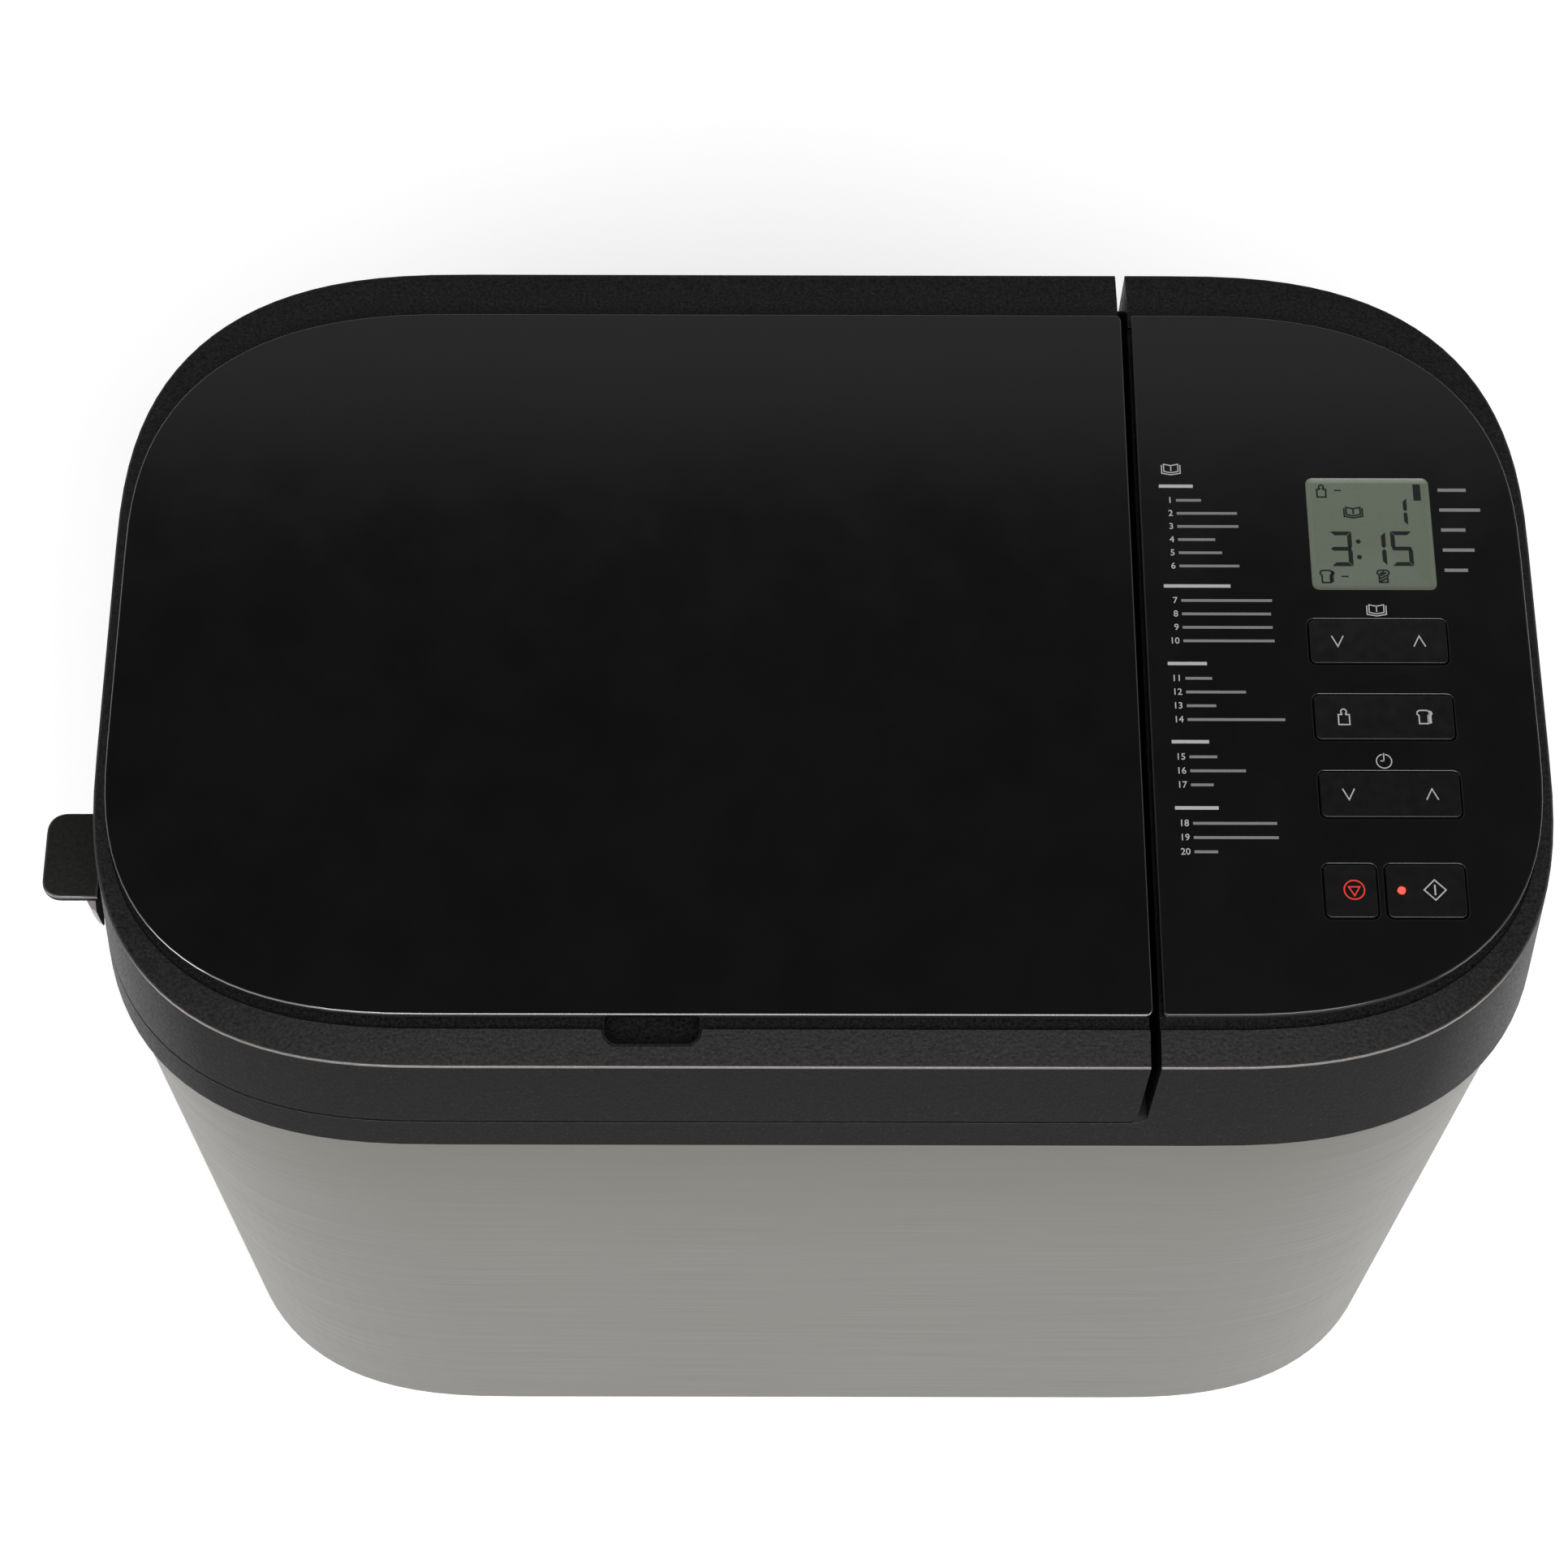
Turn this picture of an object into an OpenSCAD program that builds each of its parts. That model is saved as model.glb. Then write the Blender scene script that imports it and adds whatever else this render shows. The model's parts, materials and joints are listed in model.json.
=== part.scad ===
// Bread machine: a wide, low body with a hinged lid over the baking chamber on the left and a fixed
// control section on the right. X points right, Y to the back, Z up. The origin lies on the floor,
// midway between the feet.

/* [Body] */
// Width of the body where its dark band starts
body_w = 411; // [406:1:414]
// Depth of the body where its dark band starts
body_d = 246; // [244:1:248]
// Width across the top rim, which the band leans in to
rim_w = 396; // [392:1:400]
// Depth across the top rim
rim_d = 245; // [243:1:246]
// Size of the body's rounded corners along X
corner_x = 101; // [96:1:104]
// Size of the body's rounded corners along Y
corner_y = 91.5; // [88:0.5:95]
// Power of the superellipse that rounds the corners, 2 being an ellipse
corner_power = 2.66; // [2.5:0.01:2.8]
// How far the steel skin stands inside the dark band
skin_inset = 1.5; // [1:0.1:2]
// Thickness of the steel skin
skin_t = 0.8; // [0.6:0.1:1]

/* [Heights] */
// Bottom edge of the steel skin
skin_z = 5; // [4:0.5:6]
// Top edge of the steel skin, where the dark band starts
band_z = 288; // [284:1:292]
// Seam between the band and the lid
seam_z = 307; // [305:1:308]
// Ledge around the glossy panels
rim_z = 352; // [350:1:354]
// Top of the glossy panels
panel_z = 360; // [359:0.5:361]

/* [Lid and panels] */
// Right side of the lid
lid_right = 85.6; // [84:0.1:86]
// Gap between the lid and the control section
seam_gap = 2.8; // [2.2:0.1:3.2]
// Width across both glossy panels
panel_w = 387; // [384:0.5:388]
// Depth of the glossy panels
panel_d = 214; // [212:0.5:216]
// Where the middle of the panels lies along Y
panel_y = -2.35; // [-3:0.05:-2]
// Thickness of the panels' top skin
panel_t = 2.2; // [2:0.1:2.4]
// Width of the finger notch in front of the dispenser lid
notch_w = 25; // [20:1:30]

/* [Keys] */
// Middle of the rocker keys and the display along X
key_x = 152; // [150:0.5:154]
// Width of a rocker key
rocker_w = 37.6; // [36:0.2:39]
// Depth of a rocker key
rocker_d = 13.2; // [12:0.2:14]
// Gap around each key
key_gap = 0.4; // [0.3:0.05:0.5]
// How far the keys stand above the panel
key_proud = 0.3; // [0.2:0.05:0.4]

/* [Baking chamber] */
// Middle of the chamber along X
oven_x = -57; // [-58:0.5:-55]
// Inside width of the chamber
oven_w = 230; // [226:1:232]
// Inside depth of the chamber
oven_d = 172; // [170:1:174]
// Floor of the chamber
oven_z = 92; // [91:0.5:93]

/* [Pan] */
// Outside width of the pan
pan_w = 184; // [180:1:186]
// Outside depth of the pan
pan_d = 134; // [132:1:135]
// Top of the pan's rim
pan_top_z = 228; // [226:0.5:229]
// Reach of the pan's handle from its pivots
bail_reach = 74; // [73.5:0.1:74.5]

/* [Drive] */
// Middle of the motor along X
motor_x = 132; // [130:1:134]
// Radius of the large pulley
big_r = 58; // [54:1:60]
// Radius of the motor pulley
small_r = 9; // [8:0.5:10]

/* [Hidden] */
$fn = 48;
eps = 0.01;
corner_steps = 10;
small_steps = 4;

ctl_left = lid_right + seam_gap;
wall_t = 3.2;
far = 400;
ledge_drop = 2;
deck_z = rim_z - ledge_drop;
deck_t = 3;
skin_low = panel_z - panel_t;
panel_lip = 3;
skirt_t = 2;
recess_grow = 1;
panel_corner = [90, 78];
panel_power = 2.57;
body_y = 2;
rim_scale = [rim_w / body_w, rim_d / body_d];

vent_x = [20, 68];
vent_z = 60;
vent_h = 3.5;
vent_pitch = 9;
vent_count = 7;
gland_x = 80;
gland_z = 28;
gland_hole_r = 9;
gland_flange_r = 11;
gland_flange_t = 1.4;
gland_reach = 14;
cord_r = 4;

tray_t = 3;
tray_rim_z = 22;
tray_wall = 2;
base_vent_x = [100, 160];
base_vent_w = 4;
base_vent_pitch = 9;
foot_r = 11;
foot_stud_r = 4;
foot_x = 138;
foot_y = 72;
leg_x = [-105, 112];
leg_y = [-80, 80];
leg_r = 6;
screw_r = 2;
screw_head_r = 4;
screw_head_z = skin_z + 1.2;
screw_top_z = 24;

frame_deck_z = 303;
frame_deck_t = 2;
lid_low = seam_z + 0.6;
hinge_y = 120;
hinge_z = 314;
hinge_r = 1.75;
hinge_x = [-85, 62];
lug_w = 12;
lug_r = 3.5;
ear_t = 5;
run_gap = 0.05;
relief_x = -150;

flip_y = 101.5;
flip_z = 355;
flip_r = 1.25;
flip_x = [-94, 56];
flip_lug_w = 5;
flip_lug_r = 2.5;

menu_y = 0;
option_y = -23;
timer_y = -46;
square_y = -74.1;
stop_x = 139.5;
stop_w = 13.8;
start_x = 159.5;
start_w = 21;
square_d = 15.1;
lcd_y = 33.8;
lcd_w = 34.6;
lcd_d = 35.6;
led_x = 153;
led_y = -73.8;
led_r = 1.1;
board_z = 345;
board_t = 1.6;
board_x = [98, 178];
board_y = [-86, 62];

sheet_t = 1;
oven_r = 30;
chassis_z = 60;
chassis_t = 3;
chassis_top = chassis_z + chassis_t;
chassis_x = 12.5;
chassis_w = 325;
chassis_d = 180;
shaft_hole_r = 12;
motor_hole_r = 14;
shield_x = 68;
sensor_z = 160;
sensor_r = 3.5;
fuse_z = 200;
motor_w = 72;
motor_z = [74, 106];
motor_cap_r = 32;
motor_cap_h = 8;
motor_bore_r = 17;
motor_shaft_r = 3;
capacitor_x = motor_x - 4;
capacitor_r = 17;
capacitor_h = 56;
shaft_r = 5;
pan_shaft_r = 4;
pan_floor_z = 106;
pan_floor_t = 3;
pan_wall = 2;
pan_r = 26;
bail_r = 2.5;
bail_z = pan_top_z - 6;
bail_x = 98.5;
belt_z = 32;
belt_h = 12;
belt_t = 3;
belt_gap = 0.35;
socket_r = 42;
foot_ring_r = 35.5;

raisin_x = -110;
raisin_w = 60;
raisin_d = 100;
yeast_x = 10;
yeast_r = 20;
cup_low = 304;
cup_top = 351.2;
cup_wall = 2;
flap_t = 2;
flap_z = 301.6;
flap_axis_z = 303;
raisin_axis_x = raisin_x - raisin_w / 2 - 2;
yeast_axis_x = yeast_x + yeast_r + 3;
plate_z = lid_low + 0.4;
plate_t = 1.5;
coil_h = 12;
coil_r = 9.4;
coil_z = plate_z + plate_t + coil_h;

// Half of the band's width at a height
function band_half(z) = body_w / 2 * (1 - (1 - rim_scale.x) * (z - band_z) / (rim_z - band_z));

grip_x = -218.5;
grip_y = -43.8;
grip_w = 26;
grip_z = 309.4;
grip_t = 2.8;
pod_w = 32;
pod_out = 3;
pod_low = 295;

// --- Outlines -------------------------------------------------------------------------------

// A quarter of a superellipse, from the X axis round to the Y axis
function quarter(rx, ry, power, steps) = [for (i = [0:steps])
    let (a = 90 * i / steps) [rx * pow(cos(a), 2 / power), ry * pow(sin(a), 2 / power)]];

// A rectangle w by d whose corners are quarters of a superellipse
function outline(w, d, rx, ry, power, steps) =
    let (q = quarter(rx, ry, power, steps), cx = w / 2 - rx, cy = d / 2 - ry)
    concat(
        [for (i = [0:steps]) [cx + q[i].x, cy + q[i].y]],
        [for (i = [steps:-1:0]) [-cx - q[i].x, cy + q[i].y]],
        [for (i = [0:steps]) [-cx - q[i].x, -cy - q[i].y]],
        [for (i = [steps:-1:0]) [cx + q[i].x, -cy - q[i].y]]);

// Points on an arc about [x, y]
function arc(x, y, r, from, to, steps) = [for (i = [0:steps])
    let (a = from + (to - from) * i / steps) [x + r * cos(a), y + r * sin(a)]];

// The body's plan, drawn in from its widest outline
module body_2d(inset) {
    translate([0, body_y])
        polygon(outline(body_w - 2 * inset, body_d - 2 * inset, corner_x - inset, corner_y - inset,
            corner_power, corner_steps));
}

// The plan of the top rim, drawn in from its edge
module rim_2d(inset) {
    translate([0, body_y])
        polygon(outline(rim_w - 2 * inset, rim_d - 2 * inset, corner_x * rim_scale.x - inset,
            corner_y * rim_scale.y - inset, corner_power, corner_steps));
}

// The plan of the two glossy panels together, drawn in from their edge
module panel_2d(inset) {
    translate([0, panel_y])
        polygon(outline(panel_w - 2 * inset, panel_d - 2 * inset, panel_corner.x - inset,
            panel_corner.y - inset, panel_power, corner_steps));
}

// A rounded rectangle with round corners
module round_2d(w, d, r) {
    polygon(outline(w, d, r, r, 2, small_steps));
}

module slab(inset, z0, z1) {
    translate([0, 0, z0])
        linear_extrude(z1 - z0)
            body_2d(inset);
}

module rim_slab(inset, z0, z1) {
    translate([0, 0, z0])
        linear_extrude(z1 - z0)
            rim_2d(inset);
}

// The band as one block, which leans in from the body's outline to the rim
module band_block() {
    translate([0, body_y, band_z])
        linear_extrude(rim_z - band_z, scale = rim_scale)
            polygon(outline(body_w, body_d, corner_x, corner_y, corner_power, corner_steps));
}

module panel_slab(inset, z0, z1) {
    translate([0, 0, z0])
        linear_extrude(z1 - z0)
            panel_2d(inset);
}

// A block with rounded upright edges, centred on [x, y]
module block(x, y, w, d, r, z0, z1) {
    translate([x, y, z0])
        linear_extrude(z1 - z0)
            round_2d(w, d, r);
}

// A plain box between two corners
module span(low, high) {
    translate(low)
        cube(high - low);
}

module disc(x, y, r, z0, z1) {
    translate([x, y, z0])
        cylinder(r = r, h = z1 - z0);
}

module ring(x, y, outer, inner, z0, z1) {
    difference() {
        disc(x, y, outer, z0, z1);
        disc(x, y, inner, z0 - 1, z1 + 1);
    }
}

// A rod along X from x0 to x1, and one along Y
module rod_x(y, z, r, x0, x1) {
    translate([x0, y, z])
        rotate([0, 90, 0])
            cylinder(r = r, h = x1 - x0);
}

module rod_y(x, z, r, y0, y1) {
    translate([x, y0, z])
        rotate([-90, 0, 0])
            cylinder(r = r, h = y1 - y0);
}

// Keeps what lies left of the seam, or what lies right of it
module lid_side() {
    intersection() {
        children();
        span([-far, -far, -10], [lid_right, far, far]);
    }
}

module control_side(x = ctl_left) {
    intersection() {
        children();
        span([x, -far, -10], [far, far, far]);
    }
}

// --- Case -----------------------------------------------------------------------------------

module body_wrap() {
    color("silver")
        difference() {
            slab(skin_inset, skin_z, band_z);
            slab(skin_inset + skin_t, skin_z - 1, band_z + 1);
            rod_y(gland_x, gland_z, gland_hole_r, 100, far);
            for (i = [0:vent_count - 1])
                translate([0, 0, vent_z + vent_pitch * i])
                    span([vent_x[0], 100, 0], [vent_x[1], far, vent_h]);
        }
}

module base_tray() {
    skin_in = skin_inset + skin_t + 0.2;
    color("dimgray")
        difference() {
            union() {
                slab(skin_in, skin_z, skin_z + tray_t);
                difference() {
                    slab(skin_in, skin_z, tray_rim_z);
                    slab(skin_in + tray_wall, skin_z - 1, tray_rim_z + 1);
                }
            }
            for (x = leg_x, y = leg_y) {
                disc(x, y, screw_r + 0.2, 0, 10);
                disc(x, y, screw_head_r + 0.4, 0, screw_head_z);
            }
            for (x = [-foot_x, foot_x], y = [-foot_y, foot_y])
                disc(x, y, foot_stud_r, 0, 10);
            for (i = [-4:4])
                translate([0, base_vent_pitch * i, 0])
                    span([base_vent_x[0], -base_vent_w / 2, 0], [base_vent_x[1], base_vent_w / 2, 10]);
            rod_y(gland_x, gland_z, gland_flange_r, 100, far);
        }
}

module feet() {
    color([0.08, 0.08, 0.08])
        for (x = [-foot_x, foot_x], y = [-foot_y, foot_y]) {
            disc(x, y, foot_r - 1, 0, 1);
            disc(x, y, foot_r, 1, skin_z);
            disc(x, y, foot_stud_r, skin_z, skin_z + tray_t);
            disc(x, y, foot_stud_r + 1.4, skin_z + tray_t, skin_z + tray_t + 2);
        }
}

module case_screws() {
    color("lightsteelblue")
        for (x = leg_x, y = leg_y) {
            disc(x, y, screw_head_r, skin_z - 1, screw_head_z);
            disc(x, y, screw_r, screw_head_z, screw_top_z);
        }
}

module chassis_plate() {
    color("lightgray")
        difference() {
            union() {
                block(chassis_x, 0, chassis_w, chassis_d, 20, chassis_z, chassis_top);
                for (x = leg_x, y = leg_y)
                    disc(x, y, leg_r, skin_z + tray_t, chassis_z);
            }
            for (x = leg_x, y = leg_y)
                disc(x, y, screw_r, skin_z, screw_top_z + 2);
            disc(oven_x, 0, shaft_hole_r, chassis_z - 1, chassis_top + 1);
            disc(motor_x, 0, motor_hole_r, chassis_z - 1, chassis_top + 1);
        }
}

// Mouth of the chamber, grown by a margin
module mouth(grow, z0, z1) {
    block(oven_x, 0, oven_w + 2 * grow, oven_d + 2 * grow, oven_r + grow, z0, z1);
}

module hinge_lug(x) {
    difference() {
        union() {
            span([x - lug_w / 2, hinge_y - lug_r, frame_deck_z],
                [x + lug_w / 2, hinge_y + lug_r, hinge_z]);
            rod_x(hinge_y, hinge_z, lug_r, x - lug_w / 2, x + lug_w / 2);
        }
        rod_x(hinge_y, hinge_z, hinge_r + run_gap, x - lug_w, x + lug_w);
    }
}

module top_frame() {
    color([0.17, 0.16, 0.165]) {
        difference() {
            union() {
                difference() {
                    band_block();
                    span([-far, -far, seam_z], [ctl_left, far, far]);
                }
                slab(skin_inset + skin_t + 0.3, band_z - 8, band_z);
            }
            // hollow under the deck, and inside the control section
            slab(wall_t + 1.6, band_z - 9, frame_deck_z);
            control_side(ctl_left + wall_t)
                rim_slab(wall_t, frame_deck_z - 1, deck_z - deck_t);
            // shallow tray under the lid
            intersection() {
                rim_slab(wall_t, frame_deck_z + frame_deck_t, seam_z + 1);
                span([-far, -far, 0], [ctl_left, far, far]);
            }
            mouth(0, band_z, seam_z);
            // relief that lets the lid's rear edge turn
            span([relief_x, hinge_y - 8, seam_z - 1.5], [ctl_left, far, seam_z + eps]);
            // seat of the control panel
            control_side(ctl_left - 1)
                panel_slab(-recess_grow, deck_z, rim_z + 1);
            control_side(ctl_left + wall_t)
                panel_slab(panel_lip + skirt_t + 1, deck_z - deck_t - 1, rim_z);
        }
        for (x = hinge_x)
            hinge_lug(x);
    }
}

// --- Controls -------------------------------------------------------------------------------

// Every key hole: [x, y, w, d]
key_holes = [
    [key_x, menu_y, rocker_w, rocker_d],
    [key_x, option_y, rocker_w, rocker_d],
    [key_x, timer_y, rocker_w, rocker_d],
    [stop_x, square_y, stop_w, square_d],
    [start_x, square_y, start_w, square_d]];
post_at = [[103, -78], [174.5, -60], [103, 55], [174.5, 55]];

module control_panel() {
    color([0.06, 0.06, 0.06])
        difference() {
            union() {
                control_side()
                    panel_slab(0, skin_low, panel_z);
                difference() {
                    control_side(ctl_left + 0.6)
                        panel_slab(panel_lip, deck_z, skin_low);
                    control_side(ctl_left + 0.6 + skirt_t)
                        panel_slab(panel_lip + skirt_t, deck_z - 1, skin_low);
                }
                for (p = post_at)
                    disc(p.x, p.y, 3, board_z + board_t, skin_low);
            }
            for (k = key_holes)
                block(k[0], k[1], k[2] + 2 * key_gap, k[3] + 2 * key_gap, 1.9, skin_low - 1, panel_z + 1);
            block(key_x + 0.3, lcd_y, lcd_w, lcd_d, 2, skin_low - 1, panel_z + 1);
        }
}

module lcd_window() {
    color([0.6, 0.66, 0.58, 0.5])
        block(key_x + 0.3, lcd_y, lcd_w, lcd_d, 2, panel_z - 1.4, panel_z - 0.3);
}

module lcd_module() {
    color([0.5, 0.56, 0.48])
        block(key_x + 0.3, lcd_y, lcd_w + 3, lcd_d + 3, 1, board_z + board_t, skin_low - 0.2);
}

module status_led() {
    color("red")
        union() {
            disc(led_x, led_y, led_r, board_z + board_t, panel_z);
            disc(led_x, led_y, led_r + 0.6, board_z + board_t, board_z + board_t + 2);
        }
}

module control_board() {
    color("darkgreen")
        span([board_x[0], board_y[0], board_z], [board_x[1], board_y[1], board_z + board_t]);
}

// Places of the tact switches, one under each end of a rocker and one under each square key
switch_at = concat(
    [for (y = [menu_y, option_y, timer_y], s = [-1, 1]) [key_x + 12 * s, y]],
    [[stop_x, square_y], [start_x + 4, square_y]]);
switch_top = board_z + board_t + 3;

module tact_switches() {
    color("gray")
        for (p = switch_at) {
            block(p.x, p.y, 6, 6, 0.5, board_z + board_t, board_z + board_t + 2.2);
            disc(p.x, p.y, 1.7, board_z + board_t + 2.2, switch_top);
        }
}

// A key: cap in its hole, flange under the panel and one stem over each switch
module key(x, y, w, d, stems) {
    flange_top = skin_low - 0.9;
    block(x, y, w, d, 1.5, flange_top, panel_z + key_proud);
    block(x, y, w + 2.4, d + 1.2, 1.5, flange_top - 1.2, flange_top);
    for (s = stems)
        disc(x + s, y, 1.8, switch_top + 0.8, flange_top - 1.2);
}

module menu_key() {
    color([0.07, 0.07, 0.07])
        key(key_x, menu_y, rocker_w, rocker_d, [-12, 12]);
}

module option_key() {
    color([0.07, 0.07, 0.07])
        key(key_x, option_y, rocker_w, rocker_d, [-12, 12]);
}

module timer_key() {
    color([0.07, 0.07, 0.07])
        key(key_x, timer_y, rocker_w, rocker_d, [-12, 12]);
}

module stop_key() {
    color([0.07, 0.07, 0.07])
        key(stop_x, square_y, stop_w, square_d, [0]);
}

module start_key() {
    color([0.07, 0.07, 0.07])
        difference() {
            key(start_x, square_y, start_w, square_d, [4]);
            disc(led_x, led_y, led_r + 0.3, board_z, panel_z + 1);
        }
}

// --- Baking chamber and heating -------------------------------------------------------------

module oven_chamber() {
    color("gainsboro")
        difference() {
            union() {
                mouth(sheet_t, oven_z, frame_deck_z);
                mouth(7, frame_deck_z - sheet_t, frame_deck_z);
            }
            mouth(0, oven_z + sheet_t, frame_deck_z + 1);
            disc(oven_x, 0, 24, oven_z - 1, oven_z + 5);
            rod_x(0, sensor_z, sensor_r + 0.1, oven_x, oven_x + oven_w);
            for (s = [-1, 1])
                rod_x(s * heater_gap, heater_z, heater_r + 0.3, oven_x + 100, oven_x + oven_w);
        }
}

module heat_shield() {
    color("lightgray")
        difference() {
            span([shield_x, -96, chassis_top], [shield_x + sheet_t, 96, 300]);
            for (y = [-40, 40])
                rod_x(y, 200, 12, shield_x - 8, shield_x + 12);
        }
}

heater_r = 3.3;
heater_w = 214;
heater_d = 156;
heater_bend = 22;
heater_z = 118;
heater_gap = 14;

module heater_element() {
    end_x = oven_x + oven_w / 2 + sheet_t + 6;
    turn_x = oven_x + heater_w / 2;
    color([0.35, 0.33, 0.32])
        union() {
            difference() {
                block(oven_x, 0, heater_w + 2 * heater_r, heater_d + 2 * heater_r, heater_bend + heater_r,
                    heater_z - heater_r, heater_z + heater_r);
                block(oven_x, 0, heater_w - 2 * heater_r, heater_d - 2 * heater_r, heater_bend - heater_r,
                    heater_z - 10, heater_z + 10);
                span([oven_x, heater_r - heater_gap, 0], [far, heater_gap - heater_r, far]);
            }
            for (s = [-1, 1])
                rod_x(s * heater_gap, heater_z, heater_r, turn_x, end_x);
        }
}

module temperature_sensor() {
    wall_x = oven_x + oven_w / 2;
    color("silver") {
        rod_x(0, sensor_z, sensor_r, wall_x - 7, wall_x + sheet_t);
        rod_x(0, sensor_z, 6, wall_x + sheet_t, wall_x + sheet_t + 3);
    }
}

module thermal_fuse() {
    wall_x = oven_x + oven_w / 2 + sheet_t;
    color("white") {
        rod_y(wall_x + 3, fuse_z, 3, -9, 9);
        span([wall_x + 2, -2, fuse_z - 10], [wall_x + 4, 2, fuse_z - 2]);
    }
}

module pan_socket() {
    color("lightgray")
        difference() {
            disc(oven_x, 0, socket_r, oven_z + sheet_t, oven_z + sheet_t + 10);
            disc(oven_x, 0, foot_ring_r + 0.5, oven_z, oven_z + 20);
        }
}

// --- Drive ----------------------------------------------------------------------------------

housing_low = chassis_top;
housing_high = 78;
housing_r = 14;
bush_r = 8;
bush_h = 5;
shaft_top_z = 86;

module bearing_housing() {
    color("gray")
        difference() {
            union() {
                disc(oven_x, 0, 28, housing_low, housing_low + 3);
                disc(oven_x, 0, housing_r, housing_low, housing_high);
            }
            disc(oven_x, 0, bush_r, chassis_z, 100);
        }
}

module shaft_bushes() {
    color("darkgoldenrod") {
        for (z = [housing_low, housing_high - bush_h])
            ring(oven_x, 0, bush_r, shaft_r + run_gap, z, z + bush_h);
    }
}

module drive_shaft() {
    color("silver")
        disc(oven_x, 0, shaft_r, 24, shaft_top_z);
}

module lower_coupling() {
    color("slategray")
        difference() {
            union() {
                disc(oven_x, 0, 17, shaft_top_z - 6, shaft_top_z);
                for (s = [-1, 1])
                    span([oven_x - 4, 12 * s - 2.5, 85], [oven_x + 4, 12 * s + 2.5, 94]);
            }
            disc(oven_x, 0, shaft_r, 79, 100);
        }
}

module large_pulley() {
    color([0.2, 0.2, 0.22])
        difference() {
            union() {
                ring(oven_x, 0, big_r, big_r - 6, belt_z - 1, belt_z + belt_h + 1);
                disc(oven_x, 0, big_r - 5, belt_z + 4, belt_z + 8);
                disc(oven_x, 0, 12, belt_z - 4, belt_z + belt_h + 4);
            }
            disc(oven_x, 0, shaft_r, 0, 100);
            for (a = [0:60:300])
                translate([oven_x, 0, 0])
                    rotate([0, 0, a])
                        disc(32, 0, 10, 0, 100);
        }
}

// Belt round the two pulleys: the outer radii, joined by their common tangents
function belt_points(big, small) =
    let (lean = asin((big - small) / (motor_x - oven_x)))
    concat(
        arc(oven_x, 0, big, 90 - lean, 270 + lean, 36),
        arc(motor_x, 0, small, -90 + lean, 90 - lean, 16));

module drive_belt() {
    color([0.1, 0.1, 0.1])
        translate([0, 0, belt_z])
            linear_extrude(belt_h)
                difference() {
                    polygon(belt_points(big_r + belt_gap + belt_t, small_r + belt_gap + belt_t));
                    polygon(belt_points(big_r + belt_gap, small_r + belt_gap));
                }
}

module motor() {
    color([0.3, 0.3, 0.33])
        difference() {
            union() {
                block(motor_x, 0, motor_w, motor_w, 8, motor_z[0], motor_z[1]);
                disc(motor_x, 0, motor_cap_r, motor_z[0] - motor_cap_h, motor_z[0]);
                disc(motor_x, 0, motor_cap_r, motor_z[1], motor_z[1] + motor_cap_h);
                for (sx = [-1, 1], sy = [-1, 1])
                    disc(motor_x + 29 * sx, 29 * sy, 4, housing_low, motor_z[0]);
            }
            disc(motor_x, 0, motor_bore_r, motor_z[0] - 4, motor_z[1] + 4);
            disc(motor_x, 0, motor_shaft_r + run_gap, chassis_z, 120);
        }
}

module motor_shaft() {
    color("silver") {
        disc(motor_x, 0, motor_shaft_r, 26, 118);
        ring(motor_x, 0, motor_bore_r - 1, motor_shaft_r, motor_z[0] + 2, motor_z[1] - 2);
    }
}

module motor_pulley() {
    color([0.7, 0.7, 0.72])
        union() {
            ring(motor_x, 0, small_r, motor_shaft_r, belt_z - 1, belt_z + belt_h + 1);
            ring(motor_x, 0, small_r + 2.5, motor_shaft_r, belt_z - 2.5, belt_z - 1);
        }
}

module run_capacitor() {
    color([0.85, 0.85, 0.82])
        union() {
            disc(capacitor_x, 72, capacitor_r, housing_low, housing_low + capacitor_h);
            for (s = [-1, 1])
                span([capacitor_x + 6 * s - 3, 71.6, housing_low + capacitor_h],
                    [capacitor_x + 6 * s + 3, 72.4, housing_low + capacitor_h + 10]);
        }
}

power_y = -72;
// Blocks on the power board: [left, low, right, high, reach to the back]
components = [
    [98, 76, 122, 100, 22],
    [130, 110, 146, 130, 16],
    [104, 120, 116, 150, 12],
    [150, 140, 160, 160, 8]];

module power_board() {
    color("darkolivegreen")
        union() {
            span([92, power_y - board_t, housing_low], [164, power_y, 165]);
            for (c = components)
                span([c[0], power_y, c[1]], [c[2], power_y + c[4], c[3]]);
        }
}

module cord_inlet() {
    rear = body_y + body_d / 2 - skin_inset;
    color([0.1, 0.1, 0.1])
        difference() {
            union() {
                rod_y(gland_x, gland_z, gland_flange_r, rear, rear + gland_flange_t);
                rod_y(gland_x, gland_z, gland_hole_r - 0.2, rear - gland_reach, rear);
            }
            rod_y(gland_x, gland_z, cord_r, rear - gland_reach - 1, rear + 2);
        }
}

// --- Pan ------------------------------------------------------------------------------------

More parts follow.
